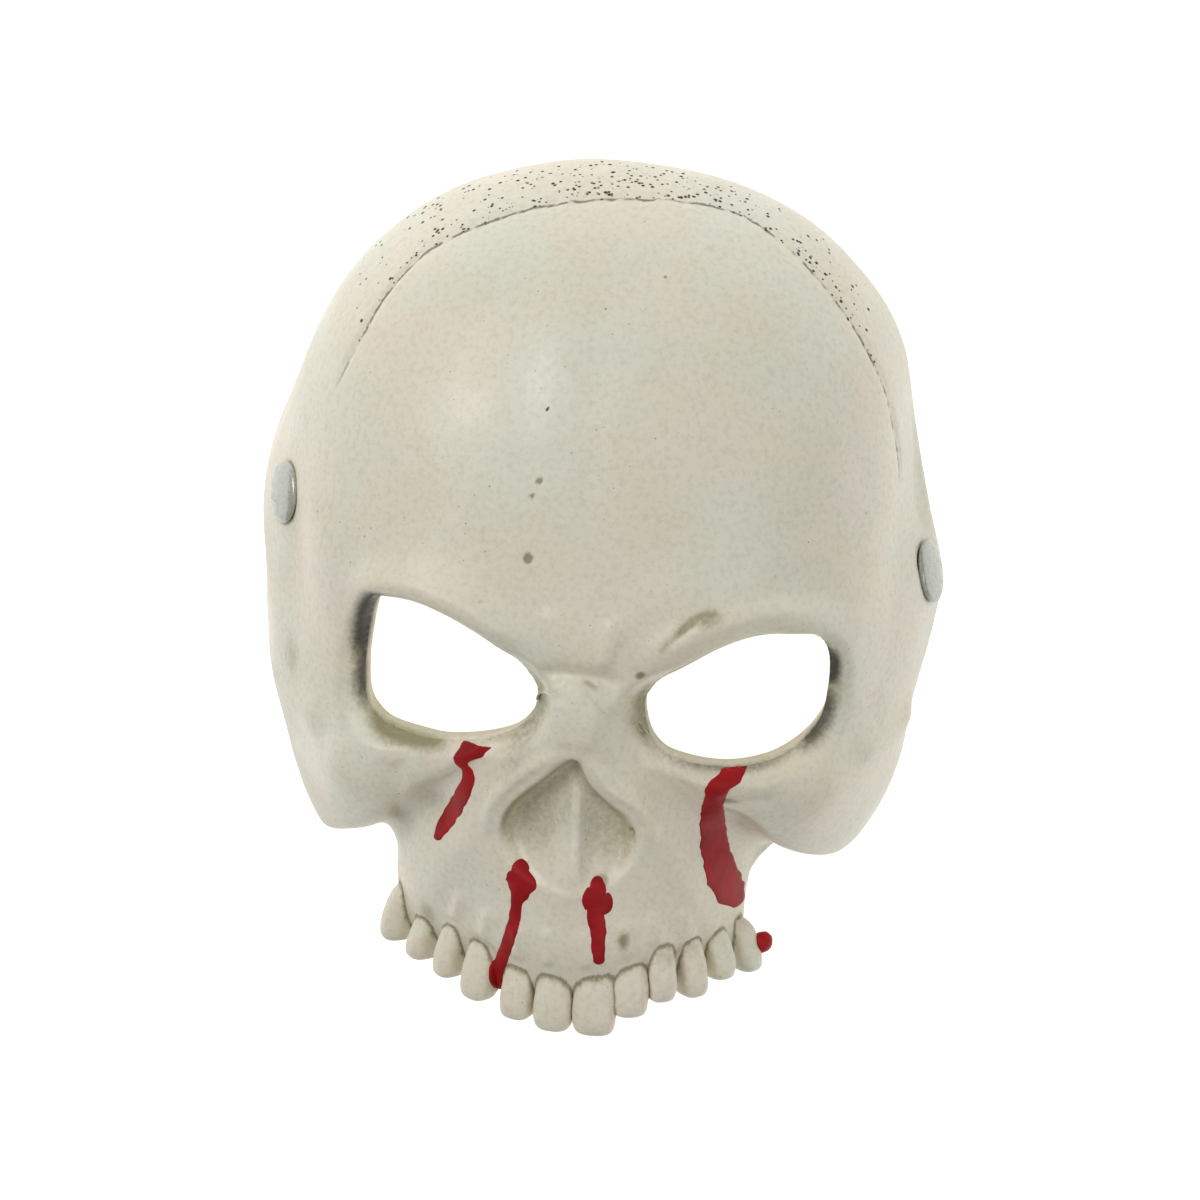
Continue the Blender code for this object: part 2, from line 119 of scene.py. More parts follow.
class Fold(NamedTuple):
    """A ridge along a path, or a crease when the rise is negative."""

    path: tuple
    half_width: float
    rise: float


class Tooth(NamedTuple):
    """One tooth: its middle, its size and the way it faces round the jaw, in degrees."""

    x: float
    y: float
    z: float
    width: float
    height: float
    facing: float


class ToothSection(NamedTuple):
    """How wide and deep a tooth is at one share of its height, from its root to its tip."""

    down: float
    width: float
    depth: float


class Scratch(NamedTuple):
    """A fine carved line: its path, how wide and deep it is and how much of each paint it holds."""

    path: tuple
    half_width: float
    depth: float
    olive: float
    black: float


class Mark(NamedTuple):
    """A small pit or dab of paint."""

    x: float
    y: float
    z: float
    radius: float
    depth: float
    tone: Tone


class Wash(NamedTuple):
    """A brushed or sprayed patch of thin paint, long along its turn."""

    x: float
    y: float
    z: float
    half_width: float
    half_height: float
    turn: float
    strength: float
    tone: Tone


class Shade(NamedTuple):
    """Paint along part of an eye's edge: its middle, its reach along and its width outwards."""

    x: float
    y: float
    reach: float
    width: float
    strength: float
    tone: Tone


class RunPoint(NamedTuple):
    """One place along a run of blood, and how wide the run is there."""

    x: float
    y: float
    half_width: float


RIM = tuple(RimPoint(*row) for row in (
    (0.0, 111.0, 0.0), (-21.0, 110.0, 0.0), (-46.0, 102.5, 0.0), (-65.0, 90.0, 0.0),
    (-80.5, 72.3, 0.0), (-93.5, 43.0, 0.0), (-100.4, 20.0, 0.0), (-99.8, -10.0, 0.0),
    (-98.0, -35.0, 0.0), (-92.5, -57.0, 0.0), (-87.0, -72.5, 0.0), (-81.3, -81.6, 0.0),
    (-74.4, -81.1, 5.0), (-63.1, -75.0, 20.4), (-55.8, -76.3, 34.0), (-53.9, -86.6, 41.0),
    (-50.5, -96.6, 45.4), (-41.3, -100.4, 52.4), (-30.9, -101.6, 61.4), (-19.8, -104.4, 70.4),
    (-5.1, -105.9, 76.6), (6.2, -105.4, 77.6), (18.1, -100.2, 74.1), (28.1, -98.1, 66.4),
    (36.1, -97.0, 56.4), (42.4, -95.2, 48.1), (42.8, -79.7, 39.6), (45.4, -71.5, 32.0),
    (53.9, -71.1, 21.0), (61.1, -75.8, 6.0), (68.0, -76.2, 0.0), (75.0, -66.6, 0.0),
    (80.5, -51.0, 0.0), (83.0, -34.0, 0.0), (87.5, -12.0, 0.0), (88.8, 4.0, 0.0),
    (84.5, 22.0, 0.0), (79.0, 44.0, 0.0), (74.0, 66.0, 0.0), (64.6, 82.0, 0.0), (47.5, 97.8, 0.0),
    (25.0, 107.5, 0.0),
))

WALLS = tuple(Wall(*row) for row in (
    (0.0, 2.15, 1.0), (45.0, 2.3, 1.0), (90.0, 2.2, 1.0), (135.0, 2.2, 1.0), (165.0, 2.1, 1.0),
    (180.0, 1.95, 1.0), (205.0, 1.9, 1.0), (222.0, 2.0, 1.0), (236.0, 2.0, 0.75),
    (246.0, 2.2, 0.55), (270.0, 2.4, 0.5), (292.0, 2.2, 0.55), (302.0, 2.0, 0.75),
    (315.0, 2.1, 1.0),
))

EYE_LEFT = tuple(EyeEdge(*row) for row in (
    (-11.6, -17.0, 8.0), (-13.2, -12.6, 5.0), (-16.7, -7.4, 1.5), (-22.9, -3.4, 1.0),
    (-29.3, 0.1, 1.0), (-36.8, 3.2, 1.0), (-41.9, 4.6, 1.0), (-48.9, 5.0, 1.5), (-55.1, 3.6, 3.0),
    (-58.0, -2.2, 6.0), (-60.0, -11.6, 8.0), (-60.8, -19.2, 8.0), (-60.4, -27.4, 7.0),
    (-57.6, -31.9, 5.0), (-52.2, -34.2, 3.5), (-40.3, -34.0, 3.0), (-31.7, -32.5, 3.0),
    (-22.8, -30.2, 3.5), (-16.4, -27.2, 5.0), (-12.6, -22.4, 7.0),
))
EYE_RIGHT = tuple(EyeEdge(*row) for row in (
    (16.5, -18.5, 8.0), (18.2, -13.8, 5.0), (21.5, -9.5, 2.0), (27.6, -5.4, 1.0),
    (34.9, -1.0, 1.0), (41.5, 1.5, 1.0), (48.0, 2.4, 1.0), (54.5, 1.6, 1.5), (59.8, -0.6, 4.0),
    (62.2, -5.0, 7.0), (62.8, -12.0, 8.0), (62.0, -21.2, 8.0), (60.4, -26.4, 7.0),
    (56.2, -31.4, 4.5), (49.4, -34.6, 3.5), (42.0, -35.5, 3.0), (35.3, -35.0, 3.0),
    (28.0, -33.2, 3.0), (22.0, -30.6, 4.5), (18.0, -25.6, 7.0),
))
NOSE = (
    (0.0, -30.5), (5.0, -38.5), (11.0, -44.2), (15.0, -47.6), (17.0, -53.0), (16.5, -59.5),
    (13.0, -65.5), (6.0, -69.5), (0.0, -70.5), (-8.0, -69.5), (-15.0, -66.5), (-19.5, -61.5),
    (-20.5, -55.0), (-18.0, -47.5), (-9.5, -38.5),
)

SWELLS = (
    Swell(-36.0, 13.0, 20.0, 9.0, -16.0, 2.0),
    Swell(33.0, 13.0, 21.0, 10.0, 24.0, 3.5),
    Swell(1.0, 1.0, 12.0, 12.0, 0.0, 2.0),
    Swell(1.0, -21.0, 7.0, 13.0, 0.0, 4.0),
    Swell(-64.0, -48.0, 13.0, 13.0, 20.0, 5.0),
    Swell(62.0, -44.0, 11.0, 12.0, -20.0, 5.0),
    Swell(-41.0, -54.0, 9.0, 9.0, 0.0, -3.5),
    Swell(42.0, -56.0, 9.0, 9.0, 0.0, -3.5),
    Swell(-87.0, 12.0, 9.0, 30.0, 8.0, -4.0),
    Swell(82.0, 14.0, 8.0, 30.0, -6.0, -3.5),
    Swell(1.0, -86.0, 30.0, 10.0, 0.0, 2.5),
    Swell(-1.5, -58.0, 6.0, 15.0, 0.0, 3.5),
)

FOLDS = (
    Fold(((-8.0, -6.0), (-16.0, 0.0), (-28.0, 6.0), (-42.0, 10.0), (-56.0, 8.5), (-67.0, 3.0)),
         5.0, 3.0),
    Fold(((12.0, -7.0), (22.0, -2.0), (34.0, 4.5), (46.0, 8.0), (58.0, 5.5), (68.0, -1.0)),
         5.0, 3.5),
    Fold(((-12.0, -10.0), (0.0, -8.5), (13.0, -11.0)), 2.5, -2.5),
    Fold(((68.0, -33.0, 52.0), (76.0, -36.0, 36.0), (80.6, -34.6, 22.0), (83.0, -27.0, 12.0)),
         4.5, 2.5),
    Fold(((-70.0, -38.0, 56.0), (-82.0, -36.0, 42.0), (-92.0, -28.0, 20.0)), 5.5, 2.0),
    Fold(((-34.0, -37.0), (-48.0, -40.0), (-51.0, -52.0), (-50.0, -66.0)), 2.5, -2.0),
    Fold(((36.0, -42.0), (44.0, -44.5), (52.0, -43.0)), 2.5, -1.5),
    Fold(((0.0, -34.0), (1.0, -52.0), (1.5, -72.0)), 2.5, 1.5),
)

TEETH = (
    Tooth(-52.8, -93.1, 46.4, 7.5, 16.8, -64.0),
    Tooth(-43.9, -95.8, 54.7, 7.5, 14.1, -55.0),
    Tooth(-34.9, -95.6, 62.7, 7.5, 16.8, -46.0),
    Tooth(-25.6, -97.3, 69.8, 9.2, 19.0, -36.0),
    Tooth(-14.0, -99.4, 75.3, 8.9, 19.0, -21.0),
    Tooth(-3.8, -99.7, 78.5, 10.4, 20.6, -7.0),
    Tooth(7.3, -99.1, 79.5, 11.4, 21.3, 5.0),
    Tooth(16.3, -95.5, 77.2, 9.6, 18.1, 19.0),
    Tooth(24.0, -91.6, 73.6, 7.9, 18.6, 33.0),
    Tooth(31.4, -92.8, 67.1, 7.5, 17.5, 43.0),
    Tooth(37.9, -91.7, 59.5, 7.5, 14.3, 51.0),
    Tooth(44.3, -92.5, 50.9, 7.5, 13.9, 58.0),
)

TOOTH_SECTIONS = tuple(ToothSection(*row) for row in (
    (0.0, 0.5, 0.4), (0.06, 0.72, 0.66), (0.2, 0.9, 0.9), (0.45, 1.0, 1.0), (0.66, 1.04, 1.06),
    (0.82, 1.02, 1.05), (0.93, 0.92, 0.93), (0.985, 0.64, 0.66), (1.0, 0.3, 0.3),
))

RELIEF = (
    Fold(((16.0, -3.0), (26.0, 3.5), (38.0, 8.5), (50.0, 9.5), (60.0, 5.0)), 2.8, 1.5),
    Fold(((-12.0, -3.0), (-24.0, 3.5), (-36.0, 8.0), (-50.0, 9.0), (-60.0, 5.0)), 2.8, 1.2),
    Fold(((-9.0, 10.0), (-6.0, 2.0), (-4.0, -7.0)), 2.4, 1.0),
    Fold(((10.0, 9.0), (8.0, 1.0), (6.0, -7.0)), 2.4, 1.1),
    Fold(((-4.5, -14.0), (-3.5, -22.0), (-1.5, -29.0)), 2.0, 1.0),
    Fold(((5.5, -14.0), (4.5, -22.0), (2.5, -29.0)), 2.0, 0.8),
    Fold(((-2.0, -28.5), (-10.0, -34.5), (-18.0, -42.0), (-22.8, -50.0), (-23.0, -60.0)), 1.9, 1.5),
    Fold(((2.5, -29.5), (9.0, -39.0), (16.5, -44.5), (20.0, -51.0), (19.5, -60.0)), 1.9, 1.5),
    Fold(((-0.5, -38.0), (0.5, -54.0), (1.0, -68.0)), 1.2, 0.9),
    Fold(((-36.5, -37.5), (-46.0, -39.5), (-54.0, -43.0)), 1.7, 0.9),
    Fold(((34.0, -40.5), (43.0, -42.5), (52.0, -40.0)), 1.7, 0.9),
    Fold(((-31.0, -76.0), (-34.0, -88.0)), 1.8, 0.9),
    Fold(((-22.5, -78.0), (-24.5, -90.0)), 1.8, 1.0),
    Fold(((-13.5, -80.0), (-14.0, -92.0)), 1.8, 1.0),
    Fold(((-6.2, -79.0), (-5.0, -92.0)), 1.7, 1.0),
    Fold(((3.1, -79.0), (5.5, -91.0)), 1.7, 1.0),
    Fold(((14.1, -77.0), (15.4, -88.0)), 1.7, 1.0),
    Fold(((21.0, -75.0), (23.5, -86.0)), 1.8, 0.9),
    Fold(((28.5, -75.0), (31.0, -87.0)), 1.8, 0.9),
    Fold(((74.3, 51.9, 44.0), (75.5, 29.1, 49.0), (76.4, 8.5, 53.0), (72.6, -1.2, 58.0)), 2.4, 1.1),
    Fold(((-78.1, 38.9, 36.0), (-79.4, 25.5, 38.0), (-71.9, 2.7, 50.0)), 2.4, 1.0),
)

SEAM = (
    (-73.6, 51.2, 47.6), (-71.1, 56.6, 47.8), (-65.5, 69.2, 45.1), (-60.2, 79.3, 40.3),
    (-53.4, 87.5, 36.9), (-46.1, 92.9, 35.6), (-36.2, 97.6, 34.6), (-25.3, 101.8, 32.8),
    (-12.9, 104.6, 31.3), (4.3, 105.7, 28.3), (19.1, 105.0, 25.3), (31.7, 102.0, 23.8),
    (43.7, 95.3, 27.2), (53.1, 87.3, 29.7), (61.2, 78.0, 31.4), (68.2, 67.2, 32.3),
    (73.8, 52.0, 28.7), (76.5, 38.5, 26.1), (76.5, 30.4, 30.0),
)

SCRATCHES = (
    Scratch(((-35.7, 9.9, 80.5), (-25.2, 8.1, 83.4), (-19.2, 4.9, 84.7), (-14.7, -0.9, 83.9)),
            0.9, 0.7, 0.25, 0.0),
    Scratch(((20.0, -1.2, 85.0), (24.2, 2.6, 85.1), (28.6, 7.7, 84.7), (32.3, 10.2, 84.2),
             (37.2, 10.6, 83.6)), 1.3, 1.1, 0.75, 0.0),
    Scratch(((-9.0, -11.8, 79.5), (-5.0, -10.2, 81.5), (-1.6, -9.8, 82.2), (3.0, -10.4, 84.5),
             (7.0, -12.5, 86.0)), 0.8, 0.7, 0.55, 0.1),
    Scratch(((36.2, -44.0, 70.5), (43.6, -46.0, 68.0), (48.0, -44.6, 68.3)), 0.8, 0.7, 0.8, 0.1),
    Scratch(((-34.1, -39.8, 72.5), (-43.4, -41.4, 68.6), (-49.0, -44.1, 67.3)),
            0.9, 0.7, 0.55, 0.05),
    Scratch(((14.8, -49.5, 78.0), (15.4, -55.8, 79.0), (14.4, -60.8, 80.7), (12.6, -64.6, 82.4)),
            0.8, 1.2, 1.0, 0.15),
)

MARKS = (
    Mark(-12.0, 57.9, 71.9, 0.7, 0.3, Tone.BLACK),
    Mark(-12.4, 40.8, 77.6, 1.0, 0.3, Tone.OLIVE),
    Mark(-14.1, 36.4, 78.5, 0.9, 0.2, Tone.OLIVE),
    Mark(-14.2, 21.0, 81.6, 1.4, 0.4, Tone.OLIVE),
    Mark(-1.3, 67.8, 68.3, 0.5, 0.2, Tone.BLACK),
    Mark(-37.8, 18.8, 77.5, 0.7, 0.2, Tone.OLIVE),
    Mark(42.4, 26.0, 78.1, 1.0, 0.3, Tone.OLIVE),
    Mark(-72.0, 11.5, 51.3, 1.1, 0.3, Tone.OLIVE),
    Mark(-26.0, 8.3, 83.3, 1.5, 0.5, Tone.OLIVE),
    Mark(16.5, -8.0, 84.1, 1.6, 0.7, Tone.OLIVE),
    Mark(-69.3, -36.3, 52.6, 1.2, 0.4, Tone.OLIVE),
    Mark(-65.6, -47.4, 56.2, 0.5, 0.2, Tone.BLACK),
    Mark(-49.8, -52.7, 64.7, 0.6, 0.2, Tone.BLACK),
    Mark(72.0, 43.9, 50.1, 1.1, 0.3, Tone.OLIVE),
    Mark(70.5, 46.1, 51.8, 0.9, 0.3, Tone.OLIVE),
    Mark(72.8, 40.4, 49.9, 1.1, 0.3, Tone.OLIVE),
    Mark(75.9, 22.6, 50.3, 0.9, 0.3, Tone.OLIVE),
    Mark(79.2, 14.9, 46.0, 1.0, 0.4, Tone.OLIVE),
    Mark(81.8, 11.4, 40.9, 1.1, 0.4, Tone.OLIVE),
    Mark(78.5, 1.1, 50.7, 0.9, 0.3, Tone.OLIVE),
    Mark(75.8, -8.1, 53.0, 1.0, 0.3, Tone.OLIVE),
    Mark(72.8, -9.2, 54.6, 0.8, 0.3, Tone.OLIVE),
)

WASHES = (
    Wash(-84.0, -24.0, 32.0, 4.5, 8.0, 0.0, 0.55, Tone.OLIVE),
    Wash(14.5, -82.0, 82.0, 1.6, 2.8, 0.0, 0.9, Tone.OLIVE),
    Wash(8.0, -66.0, 80.0, 2.0, 2.0, 0.0, 0.75, Tone.OLIVE),
    Wash(33.5, 9.0, 84.0, 5.0, 2.6, 20.0, 0.55, Tone.OLIVE),
    Wash(-15.0, -33.0, 77.5, 5.0, 12.0, -20.0, 0.36, Tone.SOOT),
    Wash(-72.0, 20.0, 50.0, 7.0, 14.0, 10.0, 0.3, Tone.OLIVE),
    Wash(76.0, -26.0, 40.0, 4.0, 10.0, 10.0, 0.3, Tone.OLIVE),
    Wash(-42.0, -88.0, 56.0, 3.0, 5.0, 0.0, 0.5, Tone.OLIVE),
    Wash(-24.0, -90.0, 72.0, 8.0, 2.5, -12.0, 0.4, Tone.OLIVE),
    Wash(28.0, -88.0, 74.0, 9.0, 2.5, 10.0, 0.4, Tone.OLIVE),
    Wash(-52.0, -60.0, 55.0, 2.0, 7.0, 0.0, 0.45, Tone.OLIVE),
)

SHADES = (
    Shade(-60.5, -4.0, 13.0, 4.4, 1.25, Tone.SOOT),
    Shade(-61.5, -20.0, 11.0, 3.0, 0.85, Tone.SOOT),
    Shade(62.5, -10.0, 6.0, 3.2, 1.2, Tone.SOOT),
    Shade(60.0, -25.0, 9.0, 4.2, 0.85, Tone.SOOT),
    Shade(40.0, -36.0, 19.0, 1.8, 0.6, Tone.SOOT),
    Shade(-48.0, -35.0, 13.0, 3.4, 0.95, Tone.OLIVE),
    Shade(17.0, -20.0, 9.0, 4.4, 0.65, Tone.OLIVE),
    Shade(-12.5, -18.0, 8.0, 3.0, 0.35, Tone.OLIVE),
)

RIVETS = {"left": (-88.5, 20.0, 35.0), "right": (86.5, 6.0, 11.5)}

RUNS: dict[str, tuple[RunPoint, ...]] = {
    "blood_under_left_eye": tuple(RunPoint(*row) for row in (
        (-26.0, -30.8, 4.2), (-27.0, -32.6, 4.2), (-28.8, -35.3, 4.0), (-31.0, -37.8, 1.9),
        (-29.6, -40.2, 1.8), (-29.3, -42.9, 2.0), (-31.5, -49.0, 2.5), (-34.9, -55.9, 2.5),
        (-37.1, -59.9, 2.3), (-38.6, -63.2, 1.4),
    )),
    "blood_under_right_eye": tuple(RunPoint(*row) for row in (
        (41.0, -34.6, 3.6), (39.9, -36.4, 3.6), (37.9, -39.0, 4.2), (36.0, -42.7, 3.0),
        (34.6, -51.7, 3.2), (34.8, -60.8, 3.2), (36.6, -69.4, 3.2), (39.2, -77.0, 2.9),
        (41.2, -81.4, 1.3),
    )),
    "blood_left_of_nose": tuple(RunPoint(*row) for row in (
        (-14.0, -65.7, 2.6), (-13.9, -67.1, 4.1), (-13.7, -69.2, 4.5), (-14.0, -71.6, 3.2),
        (-14.5, -74.4, 1.9), (-15.1, -79.9, 1.8), (-16.6, -85.8, 1.9), (-19.0, -93.5, 1.8),
        (-20.6, -97.6, 2.2), (-20.1, -102.0, 1.5),
    )),
    "blood_right_of_nose": tuple(RunPoint(*row) for row in (
        (6.8, -66.6, 1.8), (7.0, -67.9, 2.6), (6.4, -70.1, 3.5), (7.7, -72.4, 3.9),
        (7.0, -75.0, 2.4), (7.8, -79.1, 2.3), (8.0, -83.1, 1.9), (8.3, -87.4, 1.6),
    )),
}

DROP_PLACE = (48.4, -92.0, 49.0)
DROP_FACING = (0.75, -0.2, 0.6)
DROP_PROFILE = ((0.0, -2.2), (2.1, -1.9), (3.1, -0.4), (2.9, 1.1), (1.8, 2.2), (0.0, 2.6))


def smooth(t: Array | float) -> Array:
    """A soft step: 0 below 0 and 1 above 1."""
    t = np.clip(t, 0.0, 1.0)
    return t * t * (3.0 - 2.0 * t)


def curve_through(points: Array | tuple, steps: int, closed: bool = True) -> Array:
    """Lays a smooth curve through points.

    Args:
        points: Rows of coordinates.
        steps: New points for each given one.
        closed: Whether the last point leads back to the first.

    Returns:
        The curve's points.
    """
    p = np.array(points, float)
    if closed:
        before, after, far = np.roll(p, 1, 0), np.roll(p, -1, 0), np.roll(p, -2, 0)
    else:
        before, far = np.vstack([p[:1], p[:-2]]), np.vstack([p[2:], p[-1:]])
        after, p = p[1:], p[:-1]
    t = (np.arange(steps) / steps)[None, :, None]
    a, b, c, d = (q[:, None, :] for q in (before, p, after, far))
    curve = b + 0.5 * t * (
        c - a + t * (2 * a - 5 * b + 4 * c - d + t * (3 * b - a - 3 * c + d))
    )
    curve = curve.reshape(-1, p.shape[1])
    return curve if closed else np.vstack([curve, far[-1:]])


def distance_to(points: Array, path: Array, closed: bool = False) -> tuple[Array, Array]:
    """Measures how far points lie from a path.

    Args:
        points: Points, with their coordinates on the last axis.
        path: The path's corners.
        closed: Whether the path leads back to its start.

    Returns:
        The distances, and how far along the path, from 0 to 1, each nearest place lies.
    """
    p = np.array(path, float)
    if closed:
        p = np.vstack([p, p[:1]])
    lengths = np.linalg.norm(np.diff(p, axis=0), axis=1)
    starts = np.concatenate([[0.0], np.cumsum(lengths)])
    best = np.full(points.shape[:-1], np.inf)
    along = np.zeros(points.shape[:-1])
    for here, there, length, start in zip(p[:-1], p[1:], lengths, starts):
        t = np.clip((points - here) @ (there - here) / length**2, 0.0, 1.0)
        d = np.linalg.norm(points - here - t[..., None] * (there - here), axis=-1)
        along = np.where(d < best, (start + t * length) / starts[-1], along)
        best = np.minimum(d, best)
    return best, along


def near(points: Array, path: Array, reach: float) -> tuple[Array, Array, Array]:
    """Measures only the points close to a path.

    Args:
        points: Rows of points.
        path: The path's corners.
        reach: The furthest distance of interest.

    Returns:
        Which points are in the path's box, their distances, and their places along it.
    """
    low, high = path.min(0) - reach, path.max(0) + reach
    plan = points[:, : path.shape[1]]
    chosen = np.nonzero(((plan > low) & (plan < high)).all(1))[0]
    d, along = distance_to(plan[chosen], path)
    return chosen, d, along


def beside_seam(points: Array) -> tuple[Array, Array, Array]:
    """Measures the points close to the seam over the crown.

    Args:
        points: Rows of points, in the sculptor's frame.

    Returns:
        Which points are in the seam's box, how far each lies on the crown's side of the seam,
        and how close to it each is, from 0 to 1.
    """
    seam = curve_through(SEAM, 6, closed=False)
    chosen, d, along = near(points, seam, 9.0)
    steps = np.linalg.norm(np.diff(seam, axis=0), axis=1)
    shares = np.concatenate([[0.0], np.cumsum(steps)]) / steps.sum()
    foot, way = (
        np.stack([np.interp(along, shares, rows[:, i]) for i in range(3)], axis=1)
        for rows in (seam, np.gradient(seam, axis=0))
    )
    crownward = np.cross(foot - (0.0, 0.0, 20.0), way)
    crownward /= np.linalg.norm(crownward, axis=1, keepdims=True)
    across = ((points[chosen] - foot) * crownward).sum(1)
    close = smooth((8.0 - d) / 3.0) * smooth(along * 16.0) * smooth((1.0 - along) * 16.0)
    return chosen, across, close


def outside_by(points: Array, outline: tuple) -> Array:
    """Signed distance in plan to a closed outline: positive outside it."""
    p = curve_through(outline, 6)[:, :2]
    x, y = points[..., 0], points[..., 1]
    odd = np.zeros(x.shape, bool)
    for (x0, y0), (x1, y1) in zip(p, np.roll(p, -1, 0)):
        crosses = (y0 > y) != (y1 > y)
        odd ^= crosses & (x < x0 + (y - y0) * (x1 - x0) / (y1 - y0 if y1 != y0 else 1e-9))
    d, _ = distance_to(points[..., :2], p, closed=True)
    return np.where(odd, -d, d)


def normals_of(points: Array) -> Array:
    """Unit normals of a square grid of points, facing out of the face."""
    n = np.cross(np.gradient(points, axis=1), np.gradient(points, axis=0))
    return n / np.maximum(np.linalg.norm(n, axis=2, keepdims=True), 1e-9)


def evened(values: Array) -> Array:
    """The values of a grid, each drawn halfway to the mean of its four neighbours."""
    out = values.copy()
    out[1:-1, 1:-1] = 0.5 * values[1:-1, 1:-1] + 0.125 * (
        values[:-2, 1:-1] + values[2:, 1:-1] + values[1:-1, :-2] + values[1:-1, 2:]
    )
    return out


def lumps(points: Array, size: float, octaves: int = 2) -> Array:
    """Smooth chance unevenness, from about -1 to 1, with lumps of a size in millimetres."""
    flat = points.reshape(-1, 3) / size
    values = [noise.fractal(Vector(p), 1.0, 2.0, octaves) for p in flat]
    return np.array(values).reshape(points.shape[:-1])


def to_part(points_mm: Array) -> Array:
    """Points from the sculptor's frame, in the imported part's frame and metres."""
    return (np.asarray(points_mm) - CENTRE) * MM


def to_sculpt(points: Array) -> Array:
    """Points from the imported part's frame, in the sculptor's frame and millimetres."""
    return np.asarray(points) / MM + CENTRE


def new_object(name: str, points: Array, faces: list) -> bpy.types.Object:
    """Makes a mesh object that faces outwards.

    Args:
        name: The object's name.
        points: Rows of points in metres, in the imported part's frame.
        faces: Tuples of point indices.

    Returns:
        The object, linked to the scene.
    """
    mesh = bpy.data.meshes.new(name)
    mesh.from_pydata([tuple(p) for p in points], [], faces)
    model = bmesh.new()
    model.from_mesh(mesh)
    bmesh.ops.recalc_face_normals(model, faces=model.faces)
    model.to_mesh(mesh)
    model.free()
    obj = bpy.data.objects.new(name, mesh)
    bpy.context.scene.collection.objects.link(obj)
    return obj


def points_of(mesh: bpy.types.Mesh) -> Array:
    """The points of a mesh, one to a row."""
    flat = np.empty(3 * len(mesh.vertices))
    mesh.vertices.foreach_get("co", flat)
    return flat.reshape(-1, 3)


def store(mesh: bpy.types.Mesh, name: str, values: Array) -> None:
    """Keeps one number at each point of a mesh."""
    layer = mesh.attributes.new(name, "FLOAT", "POINT")
    layer.data.foreach_set("value", values.astype(np.float32))


def tapered(along: Array, sharpness: float) -> Array:
    """1 along a path, and softly down to 0 at both its ends."""
    return smooth(along * sharpness) * smooth((1.0 - along) * sharpness)


def made_plain(obj: bpy.types.Object) -> None:
    """Replaces an object's mesh by what its modifiers make of it, and drops them."""
    graph = bpy.context.evaluated_depsgraph_get()
    mesh = bpy.data.meshes.new_from_object(obj.evaluated_get(graph))
    obj.modifiers.clear()
    obj.data = mesh


def softened(obj: bpy.types.Object, angle: float, spread: int, rounds: int) -> None:
    """Rounds the sharp edges of a mesh off, except the eye openings' own crisp edges.

    Each point is drawn towards its neighbours. Where the mesh is bent inwards, as round the
    teeth, the crease is kept as the number "crease" at its points.

    Args:
        obj: The mesh object.
        angle: The bend, in degrees, from which an edge counts as sharp.
        spread: How many points further than the edge the rounding reaches.
        rounds: How often the points move.
    """
    mesh = obj.data
    model = bmesh.new()
    model.from_mesh(mesh)
    weight = np.zeros(len(model.verts))
    crease = np.zeros(len(model.verts))
    limit = math.radians(angle)
    for edge in model.edges:
        if len(edge.link_faces) == 2 and abs(edge.calc_face_angle_signed(0.0)) > limit:
            for vert in edge.verts:
                weight[vert.index] = 1.0
                if edge.calc_face_angle_signed(0.0) < 0.0:
                    crease[vert.index] = 1.0
    model.free()
    ends = np.empty(2 * len(mesh.edges), np.int32)
    mesh.edges.foreach_get("vertices", ends)
    a, b = np.concatenate([ends[::2], ends[1::2]]), np.concatenate([ends[1::2], ends[::2]])
    count = np.maximum(np.bincount(a, minlength=len(weight)), 1)
    for _ in range(spread):
        drawn = np.bincount(a, weight[b], minlength=len(weight)) / count
        weight = np.maximum(weight, drawn)
        drawn = np.bincount(a, crease[b], minlength=len(weight)) / count
        crease = np.maximum(crease, drawn)
    points = points_of(mesh)
    place = to_sculpt(points)
    for outline in (EYE_LEFT, EYE_RIGHT):
        weight *= smooth((np.abs(outside_by(place, outline)) - 0.6) / 1.2)
    crease *= smooth((-76.0 - place[:, 1]) / 4.0)
    # The crease number darkens the foam's paint there: painted shade in the creases round the
    # teeth.
    store(mesh, "crease", crease)
    for _ in range(rounds):
        mean = np.stack([np.bincount(a, points[b, i], minlength=len(weight)) for i in range(3)])
        points += (0.6 * weight)[:, None] * (mean.T / count[:, None] - points)
    mesh.vertices.foreach_set("co", points.reshape(-1))
    mesh.update()


